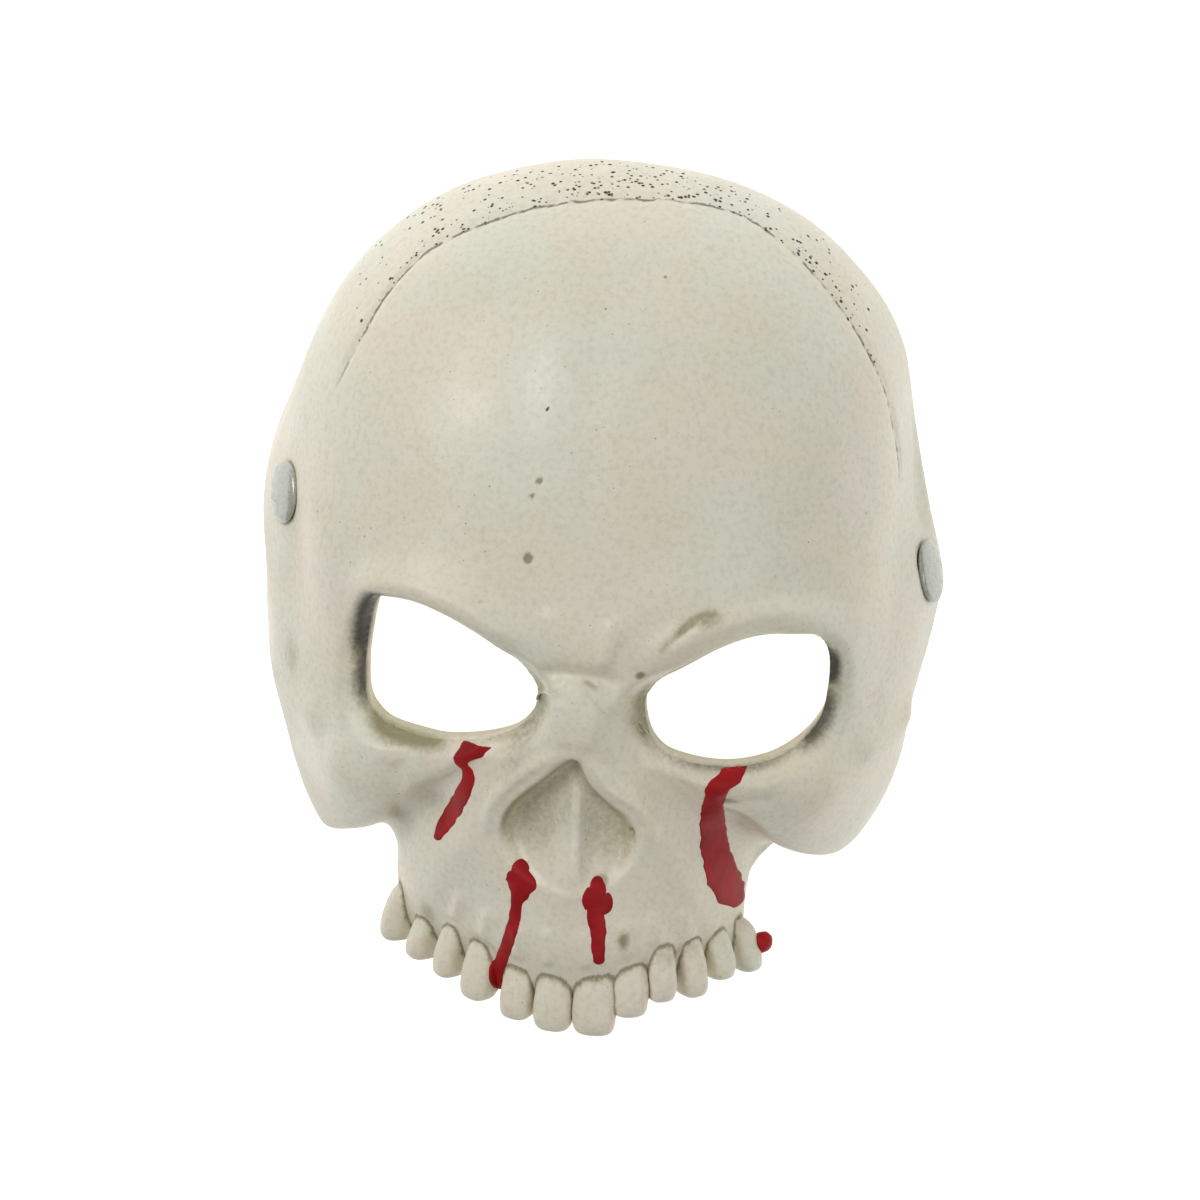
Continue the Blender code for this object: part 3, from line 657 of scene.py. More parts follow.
@dataclass
class SkullForm:
    """The form of the mask before its openings are cut.

    The CAD shell is worked out from the same sizes, on a coarser grid.
    """

    brow_height: float = 84.0
    wall: float = 6.0
    middle: tuple[float, float] = (0.0, -8.0)
    nose_depth: float = 6.5
    rivet_sink: float = 0.8
    eye_lip: float = 1.8
    plan_cells: int = 60
    inner_cells: int = 20
    inner_steps: int = 2
    finer: int = 7
    rim_steps: int = 12

    def spaced(self, cells: int, middle: float, spread: float, crowding: float) -> Array:
        """Grid lines from -1 to 1 that stand closer together round one place."""
        fine = np.linspace(-1.0, 1.0, 801)
        density = 1.0 + crowding * np.exp(-(((fine - middle) / spread) ** 2))
        share = np.concatenate([[0.0], np.cumsum((density[1:] + density[:-1]) / 2.0)])
        return np.interp(np.linspace(0.0, share[-1], cells + 1), share, fine)

    def grid(self, cells: int) -> tuple[Array, Array]:
        """The two square coordinates of each corner of the cells."""
        u, v = np.meshgrid(
            self.spaced(cells, 0.0, 0.55, 1.0), self.spaced(cells, -0.15, 0.4, 1.8)
        )
        return u, v

    def plain_shell(self, u: Array, v: Array) -> Array:
        """The smooth form: an elliptical dome brought down to its rim.

        Args:
            u: Square coordinates across the face, from -1 to 1.
            v: Square coordinates up the face, from -1 to 1.

        Returns:
            A point for each pair of coordinates, in the sculptor's frame.
        """
        a = u * np.sqrt(1.0 - v * v / 2.0)
        b = v * np.sqrt(1.0 - u * u / 2.0)
        out = np.clip(np.hypot(a, b), 0.0, 1.0)
        turn = (np.arctan2(b, a) / (2.0 * np.pi) - 0.25) % 1.0

        rim = curve_through(RIM, self.rim_steps)
        rim[:, 2] = np.maximum(rim[:, 2], 0.0)
        steps = np.linalg.norm(np.diff(np.vstack([rim, rim[:1]]), axis=0), axis=1)
        share = np.concatenate([[0.0], np.cumsum(steps)])[:-1] / steps.sum()
        x, y, z = (np.interp(turn, share, rim[:, i], period=1.0) for i in range(3))

        bearing = np.degrees(np.arctan2(y - self.middle[1], x - self.middle[0])) % 360.0
        rows = np.array(WALLS)
        power = 2.0 / np.interp(bearing, rows[:, 0], rows[:, 1], period=360.0)
        full = np.interp(bearing, rows[:, 0], rows[:, 2], period=360.0) * np.pi / 2.0
        angle = out**1.15 * full
        reach = (np.sin(angle) / np.sin(full)) ** power
        last = np.cos(full) ** power
        height = (np.cos(angle) ** power - last) / (1.0 - last)
        return np.stack(
            [
                self.middle[0] + reach * (x - self.middle[0]),
                self.middle[1] + reach * (y - self.middle[1]),
                z + (self.brow_height - z) * height,
            ],
            axis=2,
        )

    def rise_at(self, points: Array) -> Array:
        """How far the modelled features stand out of the smooth form at each point."""
        plan = points[..., :2]
        x, y = plan[..., 0], plan[..., 1]
        rise = np.zeros(x.shape)
        for s in SWELLS:
            c, d = np.cos(np.radians(s.turn)), np.sin(np.radians(s.turn))
            along = ((x - s.x) * c + (y - s.y) * d) / s.half_width
            over = ((y - s.y) * c - (x - s.x) * d) / s.half_height
            rise += s.rise * np.exp(-(along**2) - over**2)
        for f in FOLDS:
            path = curve_through(f.path, 6, closed=False)
            d, along = distance_to(points[..., : path.shape[1]], path)
            rise += f.rise * np.exp(-((d / f.half_width) ** 2)) * tapered(along, 4.0)
        for outline in (EYE_LEFT, EYE_RIGHT):
            edge = curve_through(outline, 6)
            _, along = distance_to(plan, edge[:, :2], closed=True)
            recess = np.interp(
                along * len(edge), np.arange(len(edge)), edge[:, 2], period=len(edge)
            )
            spread = 2.5 + 0.6 * recess
            rise -= recess * (1.0 - smooth(outside_by(points, outline) / spread))
        into_nose = -outside_by(points, NOSE)
        rise -= self.nose_depth * smooth(into_nose / 3.0) * smooth((y + 74.0) / 22.0)
        return rise

    def away_from_rim(self, u: Array, v: Array) -> Array:
        """0 on the rim and 1 a little way in from it."""
        return smooth((1.0 - np.maximum(np.abs(u), np.abs(v))) * 12.0)

    def rivet_seat(self, side: str) -> tuple[Array, Array]:
        """Where a rivet's cap sits on the CAD shell, and the way out there."""
        u, v = self.grid(self.plan_cells)
        plain = self.plain_shell(u, v)
        rise = evened(evened(self.rise_at(plain) * self.away_from_rim(u, v)))
        outer = plain + rise[..., None] * normals_of(plain)
        nearest = np.argmin(np.linalg.norm(outer - RIVETS[side], axis=2))
        row, col = np.unravel_index(nearest, u.shape)
        out = normals_of(outer)[row, col]
        return outer[row, col] - self.rivet_sink * out, out

    def inner_skin(self) -> Array:
        """The plain inside of the wall, the same as the CAD shell's but with smooth curves."""
        u, v = self.grid(self.plan_cells)
        plain = self.plain_shell(u, v)
        out = normals_of(plain)
        out[0], out[-1], out[:, 0], out[:, -1] = out[2], out[-3], out[:, 2], out[:, -3]
        deepest = evened(evened(self.rise_at(plain) * self.away_from_rim(u, v)))
        deepest = np.minimum(deepest, 0.0)
        for step in (1, -1, 1, -1):
            for axis in (0, 1):
                deepest = np.minimum(deepest, np.roll(deepest, step, axis))
        stride = self.plan_cells // self.inner_cells
        inner = evened((plain + (deepest - self.wall)[..., None] * out)[::stride, ::stride])
        upright = plain[::stride, ::stride, 2] < 0.5
        inner[..., 2] = np.where(upright, 0.0, np.maximum(inner[..., 2], 0.0))
        n = self.inner_cells + 1
        inner = curve_through(inner.reshape(n, -1), self.inner_steps, closed=False)
        inner = inner.reshape(len(inner), n, 3).transpose(1, 0, 2)
        across = inner.shape[1]
        inner = curve_through(inner.reshape(n, -1), self.inner_steps, closed=False)
        inner = inner.reshape(len(inner), across, 3).transpose(1, 0, 2)
        inner[..., 2] = np.maximum(inner[..., 2], 0.0)
        return inner

    def outer_skin(self) -> Array:
        """The outside of the wall with its modelled features and the fine carving."""
        u, v = self.grid(self.inner_cells * self.inner_steps * self.finer)
        plain = self.plain_shell(u, v)
        inside_rim = self.away_from_rim(u, v)
        rise = evened(evened(self.rise_at(plain) * inside_rim))
        outer = plain + rise[..., None] * normals_of(plain)
        carved = FineCarving().depth_at(outer.reshape(-1, 3)).reshape(u.shape) * inside_rim
        for outline in (EYE_LEFT, EYE_RIGHT):
            close = np.clip(1.0 - outside_by(outer, outline) / self.eye_lip, 0.0, 1.0)
            carved -= self.eye_lip * (1.0 - np.sqrt(1.0 - 0.98 * close**2))
        return outer + carved[..., None] * normals_of(outer)


@dataclass
class FineCarving:
    """Everything on the outside that is finer than the CAD shell's cells."""

    seam_width: float = 1.2
    seam_depth: float = 0.8
    unevenness: float = 0.22

    def depth_at(self, points: Array) -> Array:
        """How far the surface is moved outwards at each point, in millimetres."""
        depth = self.unevenness * lumps(points, 14.0)
        chosen, across, close = beside_seam(points)
        depth[chosen] -= self.seam_depth * np.exp(-((across / self.seam_width) ** 2)) * close
        for f in RELIEF:
            path = curve_through(f.path, 6, closed=False)
            chosen, d, along = near(points, path, 3.0 * f.half_width)
            depth[chosen] += f.rise * np.exp(-((d / f.half_width) ** 2)) * tapered(along, 4.0)
        for s in SCRATCHES:
            path = curve_through(s.path, 6, closed=False)
            chosen, d, along = near(points, path, 4.0 * s.half_width)
            depth[chosen] -= s.depth * np.exp(-((d / s.half_width) ** 2)) * tapered(along, 5.0)
        for m in MARKS:
            d = np.linalg.norm(points - (m.x, m.y, m.z), axis=1)
            depth -= m.depth * np.exp(-((d / m.radius) ** 2))
        return depth


def lathe(
    name: str, profile: list, middle: Array, outward: Array, sides: int = 64
) -> bpy.types.Object:
    """Turns a closed piece round a line.

    Args:
        name: The piece's name.
        profile: Rows of (radius, height) that start and end on the axis.
        middle: Where height 0 lies, in the sculptor's frame.
        outward: The axis.
        sides: How many flats go round.

    Returns:
        The object.
    """
    w = np.array(outward, float)
    w /= np.linalg.norm(w)
    side = np.cross((0.0, 1.0, 0.0), w)
    side /= np.linalg.norm(side)
    up = np.cross(w, side)
    points = [middle + profile[0][1] * w]
    for radius, height in profile[1:-1]:
        for i in range(sides):
            a = 2 * np.pi * i / sides
            points.append(middle + height * w + radius * (np.cos(a) * side + np.sin(a) * up))
    points.append(middle + profile[-1][1] * w)
    rings, faces = len(profile) - 2, []
    for s in range(sides):
        t = (s + 1) % sides
        faces.append((0, 1 + t, 1 + s))
        for r in range(rings - 1):
            a = 1 + r * sides
            faces.append((a + s, a + t, a + sides + t, a + sides + s))
        last = 1 + (rings - 1) * sides
        faces.append((last + s, last + t, len(points) - 1))
    return new_object(name, to_part(np.array(points)), faces)


@dataclass
class MaskShell:
    """The foam shell: both skins, the rim between them, the teeth and the cut openings."""

    form: SkullForm = field(default_factory=SkullForm)
    tooth_depth: float = 9.0
    tooth_lean: float = 4.0
    tooth_steps: int = 3
    tooth_sides: int = 32
    cap_room: float = 8.9
    shank_room: float = 2.5
    flange_room: float = 6.8
    rivet_grip: float = 5.2
    cutter_reach: float = 24.0

    def ring_of(self, cells: int, first: int) -> list[int]:
        """Indices of the corners round the edge of a square grid, anticlockwise."""
        n = cells + 1
        south = [first + i for i in range(cells)]
        east = [first + cells + n * i for i in range(cells)]
        north = [first + n * cells + cells - i for i in range(cells)]
        west = [first + n * (cells - i) for i in range(cells)]
        return south + east + north + west

    def grid_faces(self, cells: int, first: int) -> list[tuple[int, ...]]:
        """One quad for each cell of a square grid whose corners start at an index."""
        n = cells + 1
        corners = [first + r * n + c for r in range(cells) for c in range(cells)]
        return [(a, a + 1, a + n + 1, a + n) for a in corners]

    def closed_shell(self) -> bpy.types.Object:
        """Both skins joined round the rim into one closed solid."""
        outer = self.form.outer_skin()
        inner = self.form.inner_skin()
        outer_cells, inner_cells = outer.shape[0] - 1, inner.shape[0] - 1
        faces = self.grid_faces(outer_cells, 0)
        faces += self.grid_faces(inner_cells, outer.size // 3)
        outside = self.ring_of(outer_cells, 0)
        within = self.ring_of(inner_cells, outer.size // 3)
        finer = outer_cells // inner_cells
        for i, (a, b) in enumerate(zip(within, within[1:] + within[:1])):
            along = [outside[(finer * i + k) % len(outside)] for k in range(finer + 1)]
            half = finer // 2
            faces += [(a, q, p) for p, q in zip(along[:half], along[1 : half + 1])]
            faces.append((a, b, along[half]))
            faces += [(b, q, p) for p, q in zip(along[half:], along[half + 1 :])]
        points = np.vstack([outer.reshape(-1, 3), inner.reshape(-1, 3)])
        return new_object("mask_shell", to_part(points), faces)

    def tooth(self, number: int, tooth: Tooth) -> bpy.types.Object:
        """One rounded tooth that reaches up into the bone above it."""
        rows = curve_through(TOOTH_SECTIONS, self.tooth_steps, closed=False)
        lon = (np.arange(self.tooth_sides) * 2 * np.pi / self.tooth_sides)[None, :]

        def power(value: Array) -> Array:
            return np.sign(value) * np.abs(value) ** (2.0 / 2.7)

        ring = np.stack(
            np.broadcast_arrays(
                tooth.width / 2 * rows[:, 1:2] * power(np.cos(lon)),
                tooth.height * (0.5 - rows[:, :1]),
                self.tooth_depth / 2 * rows[:, 2:] * power(np.sin(lon)),
            ),
            axis=-1,
        ).reshape(-1, 3)
        root, tip = [[0.0, tooth.height / 2, 0.0]], [[0.0, -tooth.height / 2, 0.0]]
        points = np.vstack([root, ring, tip])
        rootward = np.clip(points[:, 1] / tooth.height + 0.5, 0.0, 1.0)
        points[:, 2] -= self.tooth_lean * rootward**2
        points += 0.25 * lumps(points + 40.0 * number, 5.0)[:, None] * (1.0, 0.3, 1.0)
        c, s = np.cos(np.radians(tooth.facing)), np.sin(np.radians(tooth.facing))
        x, y, z = points.T
        points = np.stack([x * c + z * s, y, z * c - x * s], axis=1)
        points += (tooth.x, tooth.y, tooth.z)
        sides, rings, faces = self.tooth_sides, len(rows), []
        for a in range(sides):
            b = (a + 1) % sides
            faces.append((0, 1 + a, 1 + b))
            for r in range(rings - 1):
                row = 1 + r * sides
                faces.append((row + a, row + sides + a, row + sides + b, row + b))
            last = 1 + (rings - 1) * sides
            faces.append((last + a, len(points) - 1, last + b))
        return new_object(f"tooth_{number}", to_part(points), faces)

    def opening(self, name: str, outline: tuple) -> bpy.types.Object:
        """A straight cutter through the face for one eye."""
        p = curve_through(outline, 8)[:, :2]
        n = len(p)
        points = np.array([(x, y, z) for z in (20.0, 120.0) for x, y in p])
        faces = [tuple(range(n))[::-1], tuple(range(n, 2 * n))]
        faces += [(i, (i + 1) % n, n + (i + 1) % n, n + i) for i in range(n)]
        return new_object(name, to_part(points), faces)

    def cut(self, shell: bpy.types.Object, tools: list, operation: str) -> None:
        """Joins or cuts tools, one after another, and removes them."""
        for tool in tools:
            step = shell.modifiers.new(tool.name, "BOOLEAN")
            step.operation = operation
            step.solver = "MANIFOLD"
            step.object = tool
        made_plain(shell)
        for tool in tools:
            bpy.data.objects.remove(tool, do_unlink=True)

    def bore(self, side: str) -> bpy.types.Object:
        """The cutter of one rivet's hole, with a round seat at each end of it."""
        seat, out = self.form.rivet_seat(side)
        profile = [
            (0.0, -self.cutter_reach),
            (self.flange_room, -self.cutter_reach),
            (self.flange_room, -self.rivet_grip),
            (self.shank_room, -self.rivet_grip),
            (self.shank_room, 0.0),
            (self.cap_room, 0.0),
            (self.cap_room, self.cutter_reach / 2.0),
            (0.0, self.cutter_reach / 2.0),
        ]
        return lathe(f"bore_{side}", profile, seat, out)

    def build(self) -> bpy.types.Object:
        """Builds the whole shell."""
        shell = self.closed_shell()
        self.cut(shell, [self.tooth(i, t) for i, t in enumerate(TEETH)], "UNION")
        eyes = [self.opening("eye_left", EYE_LEFT), self.opening("eye_right", EYE_RIGHT)]
        self.cut(shell, eyes + [self.bore(side) for side in RIVETS], "DIFFERENCE")
        return shell



class Nodes:
    """Short hand for laying out a material's nodes."""

    def __init__(self, name: str) -> None:
        """Starts a material with its Principled shader."""
        self.material = bpy.data.materials.new(name)
        self.material.use_nodes = True
        self.tree = self.material.node_tree
        self.shader = self.tree.nodes["Principled BSDF"]
        self.place = self.add("ShaderNodeTexCoord").outputs["Object"]

    def add(self, kind: str, **settings) -> bpy.types.Node:
        """A new node with its plain settings."""
        made = self.tree.nodes.new(kind)
        for name, value in settings.items():
            setattr(made, name, value)
        return made

    def feed(self, socket: bpy.types.NodeSocket, value) -> None:
        """Links a socket to another's output, or sets it."""
        if isinstance(value, bpy.types.NodeSocket):
            self.tree.links.new(value, socket)
        elif isinstance(value, tuple) and len(value) == 3 and socket.type == "RGBA":
            socket.default_value = (*value, 1.0)
        else:
            socket.default_value = value

    def math(self, operation: str, a, b=0.0, clamp: bool = False) -> bpy.types.NodeSocket:
        """One sum of two numbers."""
        made = self.add("ShaderNodeMath", operation=operation, use_clamp=clamp)
        self.feed(made.inputs[0], a)
        self.feed(made.inputs[1], b)
        return made.outputs[0]

    def mix(self, share, a, b) -> bpy.types.NodeSocket:
        """A colour between two, by a share."""
        made = self.add("ShaderNodeMix", data_type="RGBA")
        self.feed(made.inputs["Factor"], share)
        self.feed(made.inputs[6], a)
        self.feed(made.inputs[7], b)
        return made.outputs[2]

    def step(self, value, low: float, high: float, top=1.0) -> bpy.types.NodeSocket:
        """A soft step from 0 at the low value to the top at the high one."""
        made = self.add("ShaderNodeMapRange", interpolation_type="SMOOTHSTEP")
        self.feed(made.inputs["Value"], value)
        self.feed(made.inputs["From Min"], low)
        self.feed(made.inputs["From Max"], high)
        self.feed(made.inputs["To Max"], top)
        return made.outputs["Result"]

    def noise(
        self, size_mm: float, detail: float = 2.0, rough: float = 0.5, seed: float = 0.0
    ) -> bpy.types.NodeSocket:
        """Smooth noise whose lumps have a size in millimetres."""
        made = self.add("ShaderNodeTexNoise", noise_dimensions="4D")
        self.feed(made.inputs["Vector"], self.place)
        made.inputs["W"].default_value = seed
        made.inputs["Scale"].default_value = 1000.0 / size_mm
        made.inputs["Detail"].default_value = detail
        made.inputs["Roughness"].default_value = rough
        return made.outputs[0]

    def cells(self, size_mm: float) -> tuple[bpy.types.NodeSocket, bpy.types.NodeSocket]:
        """Scattered cells: the distance to the middle of each, and a chance number for it."""
        made = self.add("ShaderNodeTexVoronoi", voronoi_dimensions="3D", feature="F1")
        self.feed(made.inputs["Vector"], self.place)
        made.inputs["Scale"].default_value = 1000.0 / size_mm
        split = self.add("ShaderNodeSeparateColor")
        self.feed(split.inputs[0], made.outputs["Color"])
        return made.outputs["Distance"], split.outputs[0]

    def specks(self, size_mm: float, share: float, radius: float) -> bpy.types.NodeSocket:
        """1 on scattered round specks.

        Args:
            size_mm: The size of the cells that each hold one speck at most.
            share: The share of the cells that hold one.
            radius: The biggest speck's radius, in cells.

        Returns:
            The share of paint.
        """
        distance, chance = self.cells(size_mm)
        reach = self.math("MULTIPLY", self.step(chance, 1.0 - share, 1.0), radius)
        inside = self.math("SUBTRACT", reach, distance)
        return self.step(inside, 0.0, 0.25 * radius)

    def attribute(self, name: str) -> bpy.types.NodeSocket:
        """A number that the mesh holds at each point."""
        return self.add("ShaderNodeAttribute", attribute_name=name).outputs["Fac"]

    def bump(self, height, depth_mm: float, under=None) -> bpy.types.NodeSocket:
        """A normal that is bumped by a height, over another one."""
        made = self.add("ShaderNodeBump")
        made.inputs["Strength"].default_value = 1.0
        made.inputs["Distance"].default_value = depth_mm * MM
        self.feed(made.inputs["Height"], height)
        if under is not None:
            self.feed(made.inputs["Normal"], under)
        return made.outputs["Normal"]


@dataclass(frozen=True)
class PaintedFoam:
    """Cream paint over moulded foam, aged with olive washes, sprayed soot and fine specks, and
    with painted shade in its hollows, in the nose opening and round the teeth.
    """

    warm: tuple[float, float, float] = (0.80, 0.735, 0.585)
    cool: tuple[float, float, float] = (0.77, 0.76, 0.63)
    pink: tuple[float, float, float] = (0.83, 0.735, 0.61)
    olive: tuple[float, float, float] = (0.27, 0.25, 0.12)
    soot: tuple[float, float, float] = (0.06, 0.055, 0.045)
    black: tuple[float, float, float] = (0.018, 0.015, 0.012)
    dust: tuple[float, float, float] = (0.50, 0.46, 0.31)
    # The colour of the painted shade in the creases round the teeth.
    crease_shade: tuple[float, float, float] = (0.20, 0.17, 0.07)
    seam: tuple[float, float, float] = (0.10, 0.085, 0.045)
    bare: tuple[float, float, float] = (0.58, 0.53, 0.40)
    bare_pale: tuple[float, float, float] = (0.66, 0.62, 0.50)
    bare_dark: tuple[float, float, float] = (0.36, 0.32, 0.22)

    def material(self) -> bpy.types.Material:
        """Lays out the shader."""
        n = Nodes("painted_foam_aged_shaded")
        skin = n.mix(n.step(n.noise(28.0, 3.0), 0.35, 0.65), self.warm, self.cool)
        skin = n.mix(n.step(n.noise(40.0, 2.0, 0.5, 5.0), 0.45, 0.7, 0.7), skin, self.pink)
        fine = n.step(n.noise(1.6, 3.0, 0.6, 2.0), 0.42, 0.72, 0.3)
        skin = n.mix(fine, skin, self.dust)
        patchy = n.step(n.noise(30.0, 2.0, 0.5, 9.0), 0.4, 0.62)
        small = n.math("MULTIPLY", n.specks(1.9, 0.34, 0.15), patchy)
        skin = n.mix(n.math("MULTIPLY", small, 0.6), skin, self.soot)
        skin = n.mix(n.math("MULTIPLY", n.specks(7.0, 0.1, 0.09), 0.7), skin, self.olive)

        worn = n.noise(1.3, 4.0, 0.65, 3.0)
        # The olive paint: real washes and marks, and the olive painted shade in the recesses and
        # the nose opening.
        olive = n.math("ADD", n.attribute("olive"), n.math("MULTIPLY", worn, 0.5))
        skin = n.mix(n.step(olive, 0.35, 1.05, 0.9), skin, self.olive)
        spray = n.math("ADD", n.attribute("soot"), n.math("MULTIPLY", worn, 0.45))
        skin = n.mix(n.step(spray, 0.32, 1.15, 0.95), skin, self.soot)
        # Painted shade: a dark olive darkens the concave creases round the teeth.
        crease = n.math("ADD", n.attribute("crease"), n.math("MULTIPLY", worn, 0.9))
        skin = n.mix(n.step(crease, 0.55, 1.5, 0.85), skin, self.crease_shade)
        drift = n.math("MULTIPLY", n.math("SUBTRACT", worn, 0.5), 1.6)
        off = n.math("ABSOLUTE", n.math("ADD", n.attribute("seam"), drift))
        broken = n.step(n.noise(4.0, 2.0, 0.5, 11.0), 0.38, 0.56, 0.85)
        line = n.math("MULTIPLY", n.step(off, 0.8, 0.2), n.attribute("by_seam"))
        line = n.math("MULTIPLY", line, broken)
        skin = n.mix(line, skin, self.seam)
        black = n.math("ADD", n.attribute("black"), n.math("MULTIPLY", worn, 0.4))
        skin = n.mix(n.step(black, 0.55, 0.8), skin, self.black)
        inside = n.attribute("inside")
        bare = n.mix(n.step(n.noise(5.0, 4.0), 0.3, 0.7), self.bare, self.bare_pale)
        bare = n.mix(n.specks(1.8, 0.5, 0.2), bare, self.bare_dark)
        n.feed(n.shader.inputs["Base Color"], n.mix(inside, skin, bare))

        satin = n.step(n.noise(24.0, 2.0, 0.5, 7.0), 0.4, 0.65, 0.16)
        rough = n.math("SUBTRACT", 0.5, satin)
        n.feed(n.shader.inputs["Roughness"], n.mix(inside, rough, (0.85, 0.85, 0.85)))
        grain = n.bump(n.noise(0.9, 2.0), 0.05)
        peel = n.bump(n.noise(3.2, 3.0), 0.16, grain)
        n.feed(n.shader.inputs["Normal"], peel)
        return n.material


@dataclass(frozen=True)
class RivetMetal:
    """Greyish cream paint over metal, rubbed dark in scattered patches."""

    paint: tuple[float, float, float] = (0.50, 0.51, 0.45)
    dark: tuple[float, float, float] = (0.10, 0.095, 0.075)

    def material(self) -> bpy.types.Material:
        """Lays out the shader."""
        n = Nodes("rivet_paint_worn")
        worn = n.step(n.noise(1.2, 4.0, 0.7), 0.55, 0.72, 0.7)
        n.feed(n.shader.inputs["Base Color"], n.mix(worn, self.paint, self.dark))
        n.feed(n.shader.inputs["Roughness"], n.step(n.noise(2.0), 0.2, 0.9, 0.6))
        n.shader.inputs["Metallic"].default_value = 0.25
        n.feed(n.shader.inputs["Normal"], n.bump(n.noise(1.0, 3.0), 0.08))
        return n.material


@dataclass(frozen=True)
class BloodPaint:
    """Glossy dark red paint with darker, thicker places."""

    bright: tuple[float, float, float] = (0.40, 0.011, 0.014)
    deep: tuple[float, float, float] = (0.27, 0.007, 0.009)

    def material(self) -> bpy.types.Material:
        """Lays out the shader."""
        n = Nodes("blood_paint_wet")
        thick = n.step(n.noise(6.0, 3.0), 0.35, 0.7)
        n.feed(n.shader.inputs["Base Color"], n.mix(thick, self.bright, self.deep))
        n.shader.inputs["Roughness"].default_value = 0.5
        n.shader.inputs["Specular IOR Level"].default_value = 0.16
        n.feed(n.shader.inputs["Normal"], n.bump(n.noise(2.5, 2.0), 0.08))
        return n.material


@dataclass(frozen=True)
class DarkPaint:
    """The dark paint that stands for the shade inside a pinhole."""

    colour: tuple[float, float, float] = (0.035, 0.03, 0.022)
    pale: tuple[float, float, float] = (0.13, 0.115, 0.07)

    def material(self) -> bpy.types.Material:
        """Lays out the shader."""
        n = Nodes("pinhole_shade")
        spread = n.step(n.noise(3.0, 2.0), 0.3, 0.7)
        n.feed(n.shader.inputs["Base Color"], n.mix(spread, self.colour, self.pale))
        n.shader.inputs["Roughness"].default_value = 0.9
        return n.material


@dataclass
class SkinWearAndShade:
    """Where the shell holds each paint and each painted shade, worked out at its points."""

    def grimed_and_shaded(self, shell: bpy.types.Object, form: SkullForm) -> None:
        """Stores the paints and the painted shade as numbers at the shell's points.

        Args:
            shell: The shell, cut and smoothed.
            form: The form, for the inside of the wall.
        """
        mesh = shell.data
        points = to_sculpt(points_of(mesh))
        paint = {tone: np.zeros(len(points)) for tone in Tone}
        for s in SCRATCHES:
            path = curve_through(s.path, 6, closed=False)
            chosen, d, along = near(points, path, 4.0 * s.half_width)
            share = np.exp(-((d / (1.2 * s.half_width)) ** 2))
            share *= tapered(along, 8.0)
            for tone, amount in ((Tone.OLIVE, s.olive), (Tone.BLACK, s.black)):
                paint[tone][chosen] = np.maximum(paint[tone][chosen], amount * share)
        for m in MARKS:
            d = np.linalg.norm(points - (m.x, m.y, m.z), axis=1)
            share = 1.1 * np.exp(-((d / m.radius) ** 4))
            paint[m.tone] = np.maximum(paint[m.tone], share)
        for w in WASHES:
            c, s = np.cos(np.radians(w.turn)), np.sin(np.radians(w.turn))
            x, y, z = (points - (w.x, w.y, w.z)).T
            along, over = (x * c + y * s) / w.half_width, (y * c - x * s) / w.half_height
            share = w.strength * np.exp(-(along**2) - over**2 - (z / 16.0) ** 2)
            paint[w.tone] = np.maximum(paint[w.tone], share)
        for outline in (EYE_LEFT, EYE_RIGHT):
            d = np.abs(outside_by(points, outline))
            for w in SHADES:
                away = np.hypot(points[:, 0] - w.x, points[:, 1] - w.y) / w.reach
                share = w.strength * np.exp(-((d / w.width) ** 2) - away**4)
                share *= smooth((points[:, 2] - 30.0) / 10.0)
                paint[w.tone] = np.maximum(paint[w.tone], share)
        # Olive painted shade in the recesses, stronger the deeper each one sinks.
        hollow = smooth(-form.rise_at(points) / 7.0) * smooth((points[:, 2] - 35.0) / 10.0)
        paint[Tone.OLIVE] = np.maximum(paint[Tone.OLIVE], 0.5 * hollow)
        # Olive painted shadow along the inner wall of the nose opening, strongest at its top and on
        # its left side.
        into = -outside_by(points, NOSE)
        wall = np.exp(-(((into - 1.4) / 1.3) ** 2)) * smooth((points[:, 1] + 64.0) / 14.0)
        wall *= smooth((points[:, 2] - 50.0) / 10.0) * (0.5 - 0.012 * points[:, 0])
        paint[Tone.OLIVE] = np.maximum(paint[Tone.OLIVE], wall)
        chosen, beside, close_by = beside_seam(points)
        across, close = np.full(len(points), -9.0), np.zeros(len(points))
        across[chosen] = beside
        close[chosen] = close_by
        store(mesh, "seam", across)
        store(mesh, "by_seam", close)
        inside = self.inside_share(points, form)
        outside = 1.0 - inside
        store(mesh, "inside", inside)
        for tone in Tone:
            store(mesh, tone.name.lower(), paint[tone] * outside)

    def inside_share(self, points: Array, form: SkullForm) -> Array:
        """1 on the inside of the wall and 0 elsewhere."""
        inner = form.inner_skin()
        n = inner.shape[0]
        corners = [r * n + c for r in range(n - 1) for c in range(n - 1)]
        quads = [(a, a + 1, a + n + 1, a + n) for a in corners]
        tree = BVHTree.FromPolygons([tuple(p) for p in inner.reshape(-1, 3)], quads)
        found = (tree.find_nearest(Vector(p), 1.0)[3] for p in points)
        distance = np.array([1.0 if d is None else d for d in found])
        return 1.0 - smooth(distance / 0.6)


